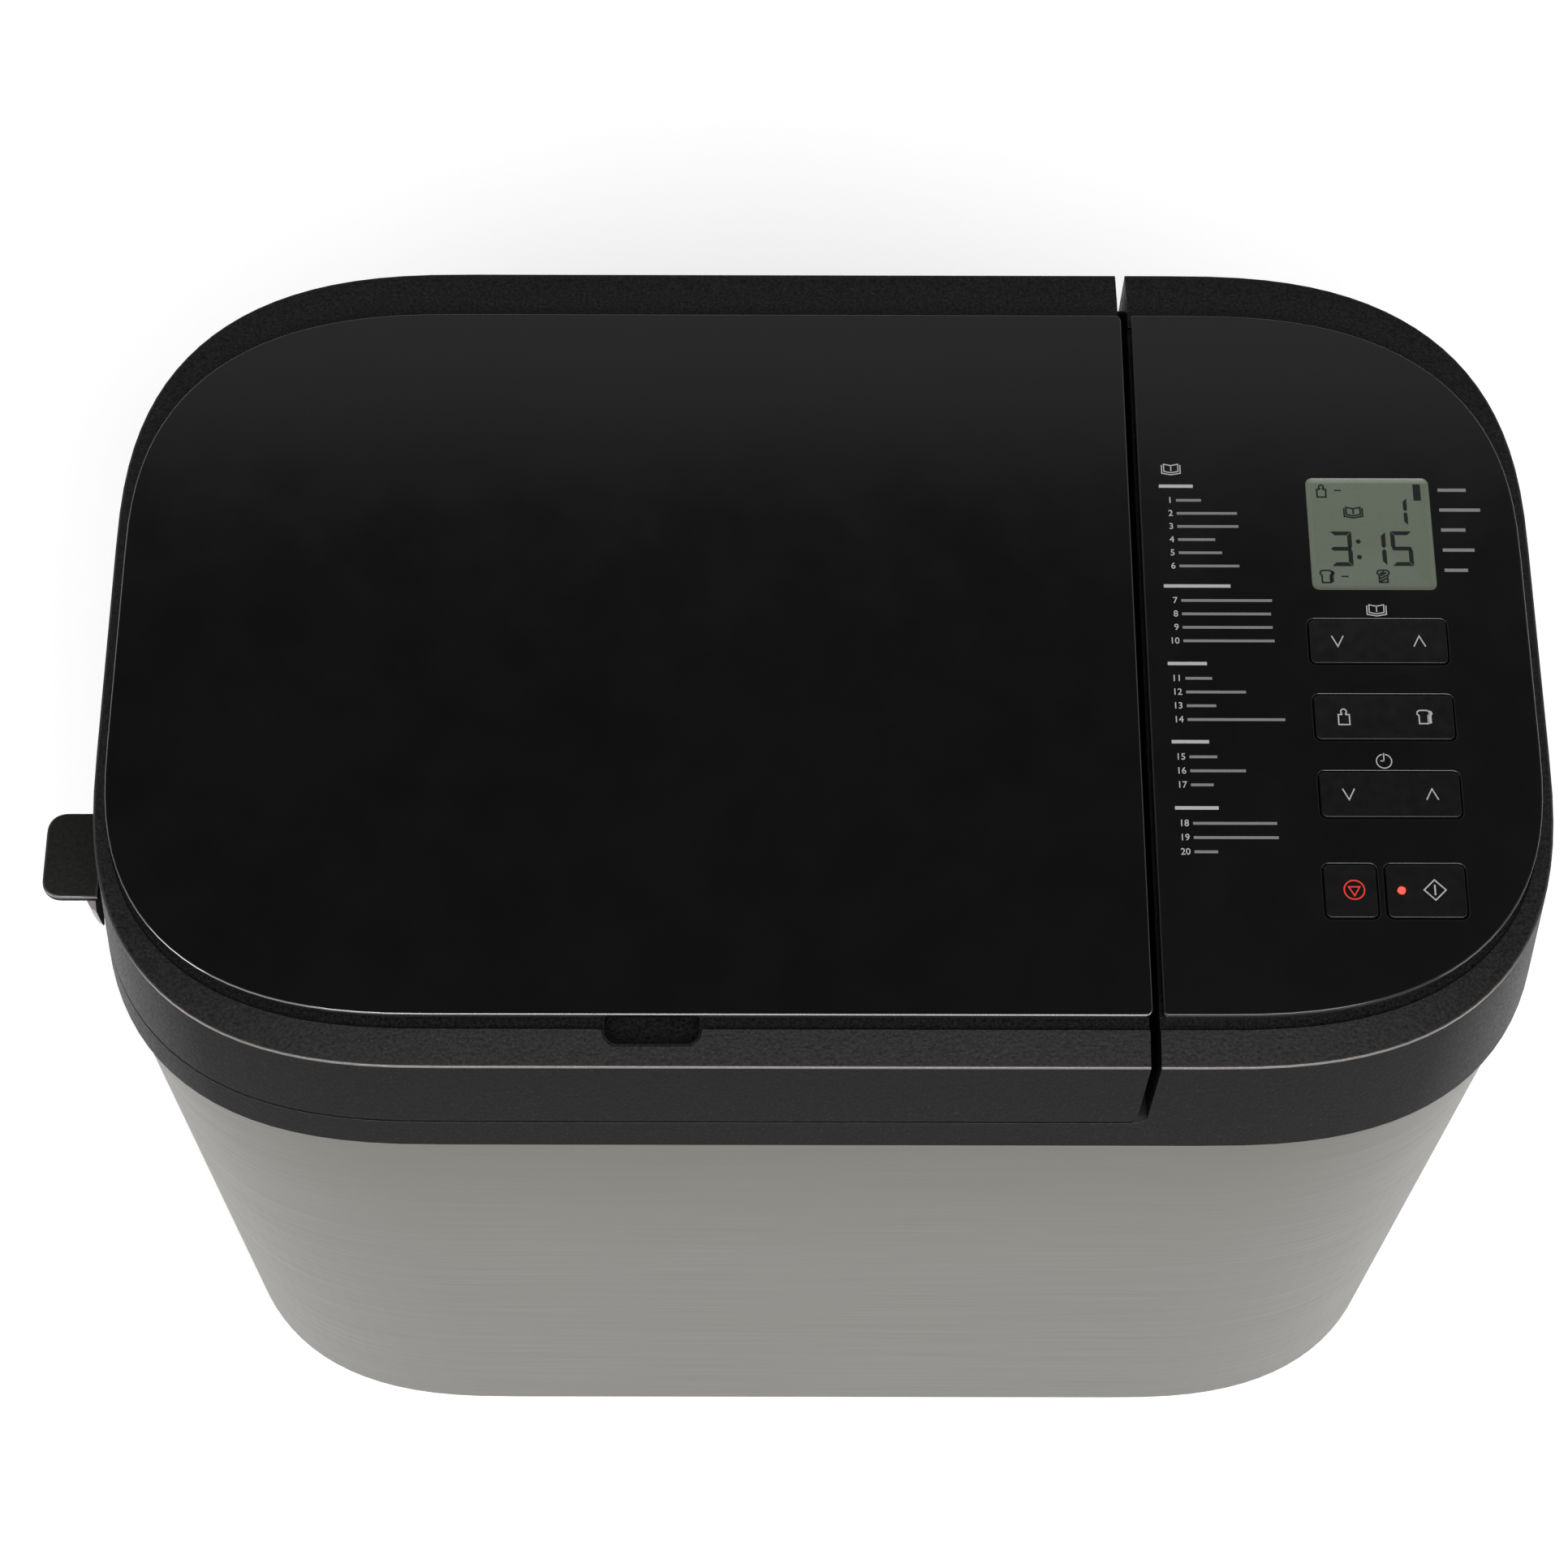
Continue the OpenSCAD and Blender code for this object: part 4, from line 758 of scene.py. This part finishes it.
def grip():
    """Grained tab at the left, on a bulged bracket."""
    low, high = box("lid_grip")
    root = box("grip_bracket")[1].x + 2.6
    plan = outline(2 * (root - low.x), high.y - low.y, 6, 6, 2.3, steps=10)
    plan = shift(plan, root, (low.y + high.y) / 2)
    tab = solid("lid_grip_tab", left_half(plan, root), rounded(low.z, high.z, 0.8, 0.9), sharp=50)
    place(tab, "lid", "grip_black", ["lid_grip"])
    low, high = box("grip_bracket")
    y, half, out = (low.y + high.y) / 2, (high.y - low.y) / 2, high.x - low.x
    gap, lap, rings = 0.4, 2.4, []
    left = sorted((p for p in band_plan(low.z, -gap) if p[0] < 0), key=lambda p: p[1])

    def side(at):
        """The band's left side at a depth, with a running gap."""
        k = next(i for i, p in enumerate(left) if p[1] > at)
        (x0, y0), (x1, y1) = left[k - 1], left[k]
        return x0 + (x1 - x0) * (at - y0) / (y1 - y0)

    turn = [math.pi / 2 + math.pi * i / 24 for i in range(25)]
    for share, z in ((0.72, low.z), (0.82, low.z + 0.5), (0.91, low.z + 1.8), (0.97, low.z + 4),
                     (1.0, low.z + 8), (1.0, high.z)):
        wide = half * (0.4 + 0.6 * share)
        bow = [(high.x + lap + (out + lap) * share * math.cos(a), y + wide * math.sin(a)) for a in turn]
        rings.append([(min(px, side(py) - 0.1), py, z) for px, py in bow]
                     + [(side(py), py, z) for _, py in reversed(bow[1:-1])])
    # Painted light: the bracket gets the lighter painted grey in place of its charcoal
    place(loft("grip_pod", rings, sharp=50), "lid", "painted_lit_bracket", ["grip_bracket"])


lid_shell()
lid_panel()
grip()

# --- Controls -------------------------------------------------------------------------------


def stroke(bm, points, w, z, closed=False):
    """A thin raised line of width w through points, on the height z."""
    pts, n, sections = [Vector(p) for p in points], len(points), []
    for i, p in enumerate(pts):
        a = pts[i - 1] if closed or i else p
        b = pts[(i + 1) % n] if closed or i < n - 1 else p
        u = (p - a).normalized() if (p - a).length > 1e-9 else (b - p).normalized()
        v = (b - p).normalized() if (b - p).length > 1e-9 else u
        m = Vector((-u.y - v.y, u.x + v.x)).normalized()
        k = w / 2 / max(m.dot(Vector((-u.y, u.x))), 0.45)
        left, right_side = p + m * k, p - m * k
        sections.append([(left.x, left.y, z), (right_side.x, right_side.y, z),
                         (right_side.x, right_side.y, z + MARK_T), (left.x, left.y, z + MARK_T)])
    add_loft(bm, sections, closed)


def plate(bm, points, z):
    add_loft(bm, [[(x, y, at) for x, y in points] for at in (z, z + MARK_T)])


def bar(bm, x0, x1, y, w, z):
    stroke(bm, [(x0, y), (x1, y)], w, z)


def moved(points, x, y, scale=1.0):
    return [(x + px * scale, y + py * scale) for px, py in points]


def book(bm, x, y, z, scale, w):
    page = [(-2, 1.45), (0, 1.0), (2, 1.45), (2, -0.85), (0, -1.3), (-2, -0.85)]
    stroke(bm, moved(page, x, y, scale), w, z, closed=True)
    stroke(bm, moved([(0, 0.75), (0, -0.75)], x, y, scale), w, z)
    stroke(bm, moved([(-2.6, 1.2), (-2.6, -1.45), (0, -1.95), (2.6, -1.45), (2.6, 1.2)], x, y, scale), w, z)


def weight(bm, x, y, z, scale, w):
    body = [(-1.3, -2), (1.3, -2), (1.3, 0.6), (0.5, 0.6)] + arc(0, 1.35, 0.68, -50, 230, 10)
    body += [(-0.5, 0.6), (-1.3, 0.6)]
    stroke(bm, moved(body, x, y, scale), w, z, closed=True)


LOAF = [(-1.1, -1.8), (1.1, -1.8), (1.1, 0.35), (1.55, 0.8), (1.45, 1.5), (0.9, 1.8), (-0.9, 1.8),
        (-1.45, 1.5), (-1.55, 0.8), (-1.1, 0.35)]


def loaf(bm, x, y, z, scale, w, hatched=False):
    stroke(bm, moved(LOAF, x, y, scale), w, z, closed=True)
    if hatched:
        for k in range(4):
            a = -1.25 + 0.85 * k
            line = [(-0.85, a - 0.35), (0.85, a + 0.65)] if k < 3 else [(-0.9, a - 0.6), (0.3, a + 0.1)]
            stroke(bm, moved(line, x, y, scale), w * 1.1, z)
    else:
        crust = [(1.15, -1.85), (1.95, -1.65), (1.95, 0.3), (2.3, 0.9), (2.05, 1.55), (1.35, 1.85),
                 (1.0, 1.85), (1.55, 1.5), (1.62, 0.8), (1.15, 0.35)]
        plate(bm, moved(crust, x, y, scale), z)


def digit(bm, x, y, w, h, t, z, lit):
    """A seven-segment digit centred on (x, y): a top, b and c right, d foot, e and f left, g middle."""
    k, g = t / 2, 0.12
    rows = {"a": y + h / 2 - k, "g": y, "d": y - h / 2 + k}
    for name, at in rows.items():
        if name in lit:
            a, b = x - w / 2 + g, x + w / 2 - g
            cut = k if name == "g" else t
            if name == "g":
                pts = [(a + k, at - k), (b - k, at - k), (b, at), (b - k, at + k), (a + k, at + k), (a, at)]
            else:
                s = 1 if name == "a" else -1
                pts = [(a, at + s * k), (a + cut, at - s * k), (b - cut, at - s * k), (b, at + s * k)]
            plate(bm, pts, z)
    for name, side, s in (("f", -1, 1), ("b", 1, 1), ("e", -1, -1), ("c", 1, -1)):
        if name in lit:
            edge = x + side * w / 2
            inner, tip, foot = edge - side * t, y + s * (h / 2 - g), y + s * g
            pts = [(edge, tip), (inner, tip - s * t), (inner, foot + s * k), (edge - side * k, foot),
                   (edge, foot + s * k)]
            plate(bm, pts, z)


def numeral(bm, text, x, y, size, z):
    """A printed number whose right edge is on x."""
    curve = bpy.data.curves.new("number", "FONT")
    curve.body, curve.size, curve.align_x, curve.extrude = text, size, "RIGHT", MARK_T / 2
    curve.align_y, curve.resolution_u, curve.offset = "CENTER", 3, 0.02
    obj = bpy.data.objects.new("number", curve)
    bpy.context.scene.collection.objects.link(obj)
    bpy.context.view_layer.update()
    mesh = bpy.data.meshes.new_from_object(obj.evaluated_get(bpy.context.evaluated_depsgraph_get()))
    mesh.transform(Matrix.Translation((x, y, z + MARK_T / 2)))
    bm.from_mesh(mesh)
    bpy.data.objects.remove(obj)


KEYS = {
    "menu": (KEY_X, ROCKERS["menu"], ROCKER_W, ROCKER_D),
    "option": (KEY_X, ROCKERS["option"], ROCKER_W, ROCKER_D),
    "timer": (KEY_X, ROCKERS["timer"], ROCKER_W, ROCKER_D),
    "stop": (STOP_X, SQUARE_Y, STOP_W, SQUARE_D),
    "start": (START_X, SQUARE_Y, START_W, SQUARE_D),
}
KEY_BODY = {"menu": "menu_rocker", "option": "option_rocker", "timer": "timer_rocker",
            "stop": "stop_button", "start": "start_button"}


def control_panel():
    """Glossy panel with its holes, and the skirt below it."""
    plan = right_part(panel_plan(), CTL_LEFT, 1.2)
    panel = solid("control_panel_skin", plan, rounded(SKIN_LOW, PANEL_Z, 0.25, 0.6))
    tools = []
    for x, y, w, d in KEYS.values():
        hole = shift(outline(w + 2 * KEY_GAP, d + 2 * KEY_GAP, 1.9, 1.9, steps=6), x, y)
        rise = [(0, SKIN_LOW - 1), (0, PANEL_Z - 0.4), (-0.12, PANEL_Z - 0.16), (-0.42, PANEL_Z + 0.02),
                (-0.6, PANEL_Z + 1)]
        tools.append(solid("tool", hole, rise))
    tools.append(block("tool", LCD_X, LCD_Y, LCD_W, LCD_D, 2, SKIN_LOW - 1, PANEL_Z + 1))
    place(flatten(boolean(panel, tools)), "housing", "control_black", ["control_panel"])
    hem = skirt("control_skirt", right_part(panel_plan(3), CTL_LEFT + 0.6, 1), DECK_Z, SKIN_LOW)
    place(hem, "housing", "control_black")


def keys():
    for name, (x, y, w, d) in KEYS.items():
        plan = shift(outline(w, d, 1.5, 1.5, steps=6), x, y)
        low = SKIN_LOW - 0.9
        profile = [(-0.6, low - 1.2), (-0.6, low), (0, low), (0, KEY_TOP - 0.3), (0.1, KEY_TOP - 0.1),
                   (0.3, KEY_TOP)]
        key = solid(f"{name}_cap", plan, profile)
        if name == "start":
            led = box("status_led")
            at = (led[0] + led[1]) / 2
            boolean(key, [drum("tool", at.x, at.y, 1.4, low - 5, KEY_TOP + 1)])
        place(flatten(key), KEY_BODY[name], "key_black", [f"{name}_key"])


def display():
    """Display glass in its window, with a shallow dished border, and what it shows."""
    plan = shift(outline(LCD_W - 0.1, LCD_D - 0.1, 2, 2, steps=6), LCD_X, LCD_Y)
    face = PANEL_Z - 0.85
    profile = [(0, PANEL_Z - 1.4), (0, PANEL_Z - 0.35), (0.15, PANEL_Z - 0.3), (1.1, face + 0.08),
               (1.5, face)]
    place(solid("display_glass", plan, profile), "housing", "display", ["lcd_window"])
    bm = bmesh.new()
    x0, y0, line = LCD_X - LCD_W / 2, LCD_Y - LCD_D / 2, 0.46

    def at(u, v):
        return x0 + u, y0 + v

    weight(bm, *at(4.5, 31.6), face, 0.95, line)
    bar(bm, x0 + 8.1, x0 + 10, y0 + 31.8, 0.4, face)
    plate(bm, moved([(-1.05, -2.6), (1.05, -2.6), (1.05, 2.6), (-1.05, 2.6)], *at(31.2, 31.2)), face)
    book(bm, *at(13, 25), face, 0.98, line)
    digit(bm, *at(25.6, 25.1), 5, 8.6, 1.05, face, "bc")
    digit(bm, *at(9, 13.3), 6, 10.9, 1.2, face, "abcdg")
    digit(bm, *at(18.7, 13.4), 5.4, 10.5, 1.2, face, "bc")
    digit(bm, *at(25.8, 13.4), 6, 10.9, 1.2, face, "acdfg")
    for v in (15.6, 10.7):
        plate(bm, arc(*at(13.8, v), 0.68, 0, 337.5, 15), face)
    loaf(bm, *at(4.2, 4.6), face, 1.05, line)
    bar(bm, x0 + 8.4, x0 + 10.4, y0 + 4.6, 0.4, face)
    loaf(bm, *at(20, 4.7), face, 1.05, line, hatched=True)
    place(new_mesh("display_segments", bm), "housing", "segment")


def legends():
    """Printed marks: a numbered list with a bar for each name, bars beside the display for the
    steps, and a sign for each key."""
    bm, faint, z, x = bmesh.new(), bmesh.new(), PANEL_Z, 94
    groups = [(48.6, 9.5, [7, 16.8, 17, 10.3, 12, 16.6]), (17.1, 18.4, [25, 24.5, 24.7, 25]),
              (-6.8, 10.7, [7.3, 16.3, 8, 26.5]), (-30.4, 10.1, [7.5, 15, 6.1]),
              (-50, 11.7, [22.5, 22.7, 6.3])]
    number, first, row = 0, 4.5, 4.15
    for head, width, names in groups:
        bar(bm, x, x + width, head, 1.0, z)
        for k, length in enumerate(names):
            number += 1
            y = head - first - row * k
            numeral(bm, str(number), x + 3.6, y, 2.7, z)
            bar(faint, x + 4.6, x + 4.6 + length, y, 0.8, z)
    step_x, step_y, step_row = 171.9, 47.5, 6.33
    for k, width in enumerate([7.9, 11.4, 6.8, 8.8, 6.5]):
        bar(faint, step_x, step_x + width, step_y - step_row * k, 1.0, z)
    place(new_mesh("list_bars", faint), "housing", "faint")
    book(bm, 97.6, 54.2, z, 1, 0.3)
    book(bm, KEY_X + 0.2, 9.9, z, 1.02, 0.3)
    clock = (151, -36.1)
    stroke(bm, arc(*clock, 2.05, 100, 440, 28), 0.3, z)
    stroke(bm, moved([(0, 2.4), (0, 0)], *clock), 0.3, z)
    stroke(bm, moved([(-1, 0.1), (0.15, 0.1)], *clock), 0.3, z)
    place(new_mesh("panel_legends", bm), "housing", "legend")
    vee = [(-1.6, 1.6), (0, -1.6), (1.6, 1.6)]
    for name in ("menu", "timer"):
        bm, y = bmesh.new(), ROCKERS[name]
        stroke(bm, moved(vee, KEY_X - 11.2, y), 0.34, KEY_TOP)
        stroke(bm, [(px, 2 * y - py) for px, py in moved(vee, KEY_X + 11.2, y)], 0.34, KEY_TOP)
        place(new_mesh(f"{name}_marks", bm), KEY_BODY[name], "legend")
    bm, y = bmesh.new(), ROCKERS["option"]
    weight(bm, KEY_X - 11, y, KEY_TOP, 1.15, 0.36)
    loaf(bm, KEY_X + 10.6, y, KEY_TOP, 1.1, 0.36)
    place(new_mesh("option_marks", bm), KEY_BODY["option"], "legend")
    bm, at = bmesh.new(), (STOP_X + 0.9, SQUARE_Y + 0.3)
    stroke(bm, arc(*at, 2.7, 0, 350, 35), 0.38, KEY_TOP, closed=True)
    stroke(bm, arc(*at, 1.7, -90, 150, 2), 0.36, KEY_TOP, closed=True)
    place(new_mesh("stop_marks", bm), KEY_BODY["stop"], "legend_red")
    bm, at = bmesh.new(), (START_X + 2.3, SQUARE_Y + 0.3)
    stroke(bm, arc(*at, 2.9, 0, 270, 3), 0.36, KEY_TOP, closed=True)
    stroke(bm, moved([(0, 1.5), (0, -1.5)], *at), 0.42, KEY_TOP)
    place(new_mesh("start_marks", bm), KEY_BODY["start"], "legend")


control_panel()
keys()
display()
legends()

# --- Chamber, pan and heating ---------------------------------------------------------------


def ring_at(w, d, r, z, x=OVEN_X):
    return [(px + x, py, z) for px, py in outline(w, d, r, r, steps=12)]


def fold(w, d, r, z, bend, steps=5):
    """Rings round a bend between a floor at z and an upright wall, from the floor outwards."""
    rings = []
    for k in range(steps + 1):
        a = math.pi / 2 * k / steps
        i, rise = bend * (1 - math.sin(a)), bend * (1 - math.cos(a))
        rings.append(ring_at(w - 2 * i, d - 2 * i, r - i, z + rise))
    return rings


def chamber():
    """Pressed liner with a flange round its mouth and a round hole in its floor."""
    low, high = box("oven_chamber")
    inner, outer = (OVEN_W, OVEN_D, OVEN_R), (OVEN_W + 2, OVEN_D + 2, OVEN_R + 1)
    flange, hole = (OVEN_W + 14, OVEN_D + 14, OVEN_R + 7), (48, 48, 24)
    rings = [ring_at(*hole, low.z)] + fold(*outer, low.z, 6)
    rings += [ring_at(*outer, high.z - 1), ring_at(*flange, high.z - 1), ring_at(*flange, high.z)]
    rings += [ring_at(*outer, high.z), ring_at(OVEN_W + 0.3, OVEN_D + 0.3, OVEN_R + 0.2, high.z - 0.4)]
    rings += [ring_at(*inner, high.z - 1.5)]
    rings += fold(*inner, low.z + 1, 5)[::-1] + [ring_at(*hole, low.z + 1)]
    place(loft("chamber_liner", rings, closed=True), "housing", "plated_sheet", ["oven_chamber"])


def pan():
    low, high = box("bread_pan")
    w, d, r, z0, z1 = 184, 134, 26, low.z, high.z
    rings = [ring_at(14.2, 14.2, 7.1, z0), ring_at(120, 76, 10, z0)] + fold(w - 2, d - 2, r - 1, z0, 9)
    rings += [ring_at(w, d, r, z1 - 4), ring_at(w + 4, d + 3.2, r + 1.8, z1 - 2.4)]
    rings += [ring_at(w + 5, d + 4, r + 2, z1 - 1.4), ring_at(w + 4.4, d + 3.4, r + 1.8, z1 - 0.4)]
    rings += [ring_at(w + 3, d + 2.4, r + 1.2, z1), ring_at(w - 1.6, d - 1.6, r - 0.8, z1 - 0.1)]
    rings += [ring_at(w - 4, d - 4, r - 2, z1 - 1.6)]
    rings += fold(w - 6, d - 6, r - 3, z0 + 3, 8)[::-1]
    rings += [ring_at(118, 74, 9, z0 + 3), ring_at(14.2, 14.2, 7.1, z0 + 3)]
    place(loft("bread_pan_body", rings, closed=True, sharp=50), "pan", "pan_coat", ["bread_pan"])
    for s in (-1, 1):
        x = OVEN_X + s * (w / 2 + 1.5)
        tab = [(-8, z1 - 2.5), (-8, z1 - 11), (-5, z1 - 15), (5, z1 - 15), (8, z1 - 11), (8, z1 - 2.5)]
        ear = prism(f"pan_ear_{'ab'[s > 0]}", tab, "x", x - 2.2, x + 2.2)
        place(soften(ear, 0.6), "pan", "pan_coat")


def handle():
    low, high = box("pan_handle")
    r = (high.z - low.z) / 2
    z, reach, half = low.z + r, low.y + r, (high.x - low.x) / 2 - r
    pivot = half - 5.7
    points = [(OVEN_X - pivot, 0, z), (OVEN_X - half, 0, z), (OVEN_X - half, reach, z),
              (OVEN_X + half, reach, z), (OVEN_X + half, 0, z), (OVEN_X + pivot, 0, z)]
    path = fillet(points, [2.6, 13, 13, 2.6])
    place(tube("pan_bail", path, r - 0.02), "bail", "handle_wire", ["pan_handle"])


def heater():
    low, high = box("heater_element")
    r = (high.z - low.z) / 2
    z, x0, y1, x2 = low.z + r, low.x + r, high.y - r, 50
    points = [(high.x, -14, z), (x2, -14, z), (x2, -y1, z), (x0, -y1, z), (x0, y1, z), (x2, y1, z),
              (x2, 14, z), (high.x, 14, z)]
    path = fillet(points, [7, 22, 22, 22, 22, 7])
    place(tube("heater_tube", path, r - 0.02), "housing", "heater_sheath", ["heater_element"])


def blade():
    low, high = box("kneading_blade")
    bm = bmesh.new()
    fin = [(-4, 29, 2.0), (6, 30, 2.0), (14, 32, 2.0), (22, 34.4, 1.95), (29, 35.7, 1.85),
           (34, 33, 1.7), (38, 28.5, 1.5), (42, 19, 1.3), (45, 8, 1.0), (46, 3, 0.6)]
    rings = []
    for x, tall, half in fin:
        ring = outline(2 * half, tall, half * 0.9, half * 0.9, steps=4)
        rings.append([(OVEN_X + x, y, low.z + tall / 2 + z) for y, z in ring])
    add_loft(bm, rings)
    wing = new_mesh("kneading_paddle", bm)
    foot = []
    for x, half in ((0, 7), (38, 3.4), (41, 3), (42.5, 1.5)):
        ring = outline(2 * half, 3, min(half, 1.4) * 0.95, 1.4, steps=4)
        foot.append([(OVEN_X + x, y, low.z + 1.5 + z) for y, z in ring])
    hub_plan = shift(outline(20, 20, 10, 10, steps=12), OVEN_X, 0)
    hub = solid("tool", hub_plan, [(0.3, low.z), (0, low.z + 0.5), (0.4, high.z - 8), (1.2, high.z - 3),
                                   (2.4, high.z - 1), (4.6, high.z)])
    boolean(wing, [loft("tool", foot), hub], "UNION")
    boolean(wing, [drum("tool", OVEN_X, 0, 4.15, low.z - 5, high.z - 1.5)])
    place(wing, "blade", "pan_coat", ["kneading_blade"])


def lid_lining():
    """Pressed plate and seal under the lid."""
    low, high = box("lid_inner_plate")
    plan = left_part(rim_plan(WALL_T + 0.3), LID_RIGHT - WALL_T - 0.3, 1)
    plate_obj = solid("lid_liner", plan, [(0.4, high.z - 1.5), (0, high.z - 1.2), (0, high.z)])
    boolean(plate_obj, [cuboid("tool", (-FAR, HINGE_Y - 6, 300), (FAR, FAR, 320))])
    pad = solid("tool", shift(outline(210, 152, 24, 24, steps=10), OVEN_X, 0),
                [(6, low.z + 0.6), (2.2, low.z), (1.0, low.z + 0.3), (0.3, low.z + 1.1),
                 (0, low.z + 2.2), (0, high.z - 0.5)])
    boolean(plate_obj, [pad], "UNION")
    tools = [block("tool", RAISIN_X - 1, 0, 70, 114, 3, 300, 320),
             drum("tool", YEAST_X, 0, 20.5, 300, 320),
             cuboid("tool", (YEAST_X, -14, 300), (37, 14, 320))]
    boolean(plate_obj, tools)
    place(plate_obj, "lid", "lid_plate", ["lid_inner_plate"])
    low, high = box("lid_seal")
    rings = []
    for i, z in ((0, high.z), (0, low.z + 1), (0.6, low.z + 0.3), (1.6, low.z), (3.4, low.z),
                 (4.4, low.z + 0.3), (5, low.z + 1), (5, high.z)):
        rings.append(ring_at(OVEN_W + 14 - 2 * i, OVEN_D + 14 - 2 * i, OVEN_R + 6 - i, z))
    place(loft("lid_gasket", rings, closed=True), "lid", "seal_rubber", ["lid_seal"])


chamber()
pan()
handle()
heater()
blade()
lid_lining()

# --- CAD nodes that stay --------------------------------------------------------------------

SLOTS = {part["node"]: part["material_slot"] for part in frame["record"]["subparts"]}
# Widths of the small rounds on their edges
ROUND = {"base_tray": 0.4, "raisin_box": 0.4, "raisin_flap": 0.3, "yeast_cup": 0.4, "yeast_flap": 0.3,
         "chassis_plate": 0.4, "motor": 0.6, "run_capacitor": 0.5, "feet": 0.5, "cord_inlet": 0.4,
         "pan_socket": 0.5, "pan_base_ring": 0.4, "lower_coupling": 0.4, "pan_coupling": 0.4,
         "bearing_housing": 0.5, "large_pulley": 0.4, "power_board": 0.3, "heat_shield": 0.2}
for name, obj in nodes.items():
    if obj.hide_render:
        continue
    paint(obj, FINISH[SLOTS[name]])
    if name in ROUND:
        soften(obj, ROUND[name], angle=40)
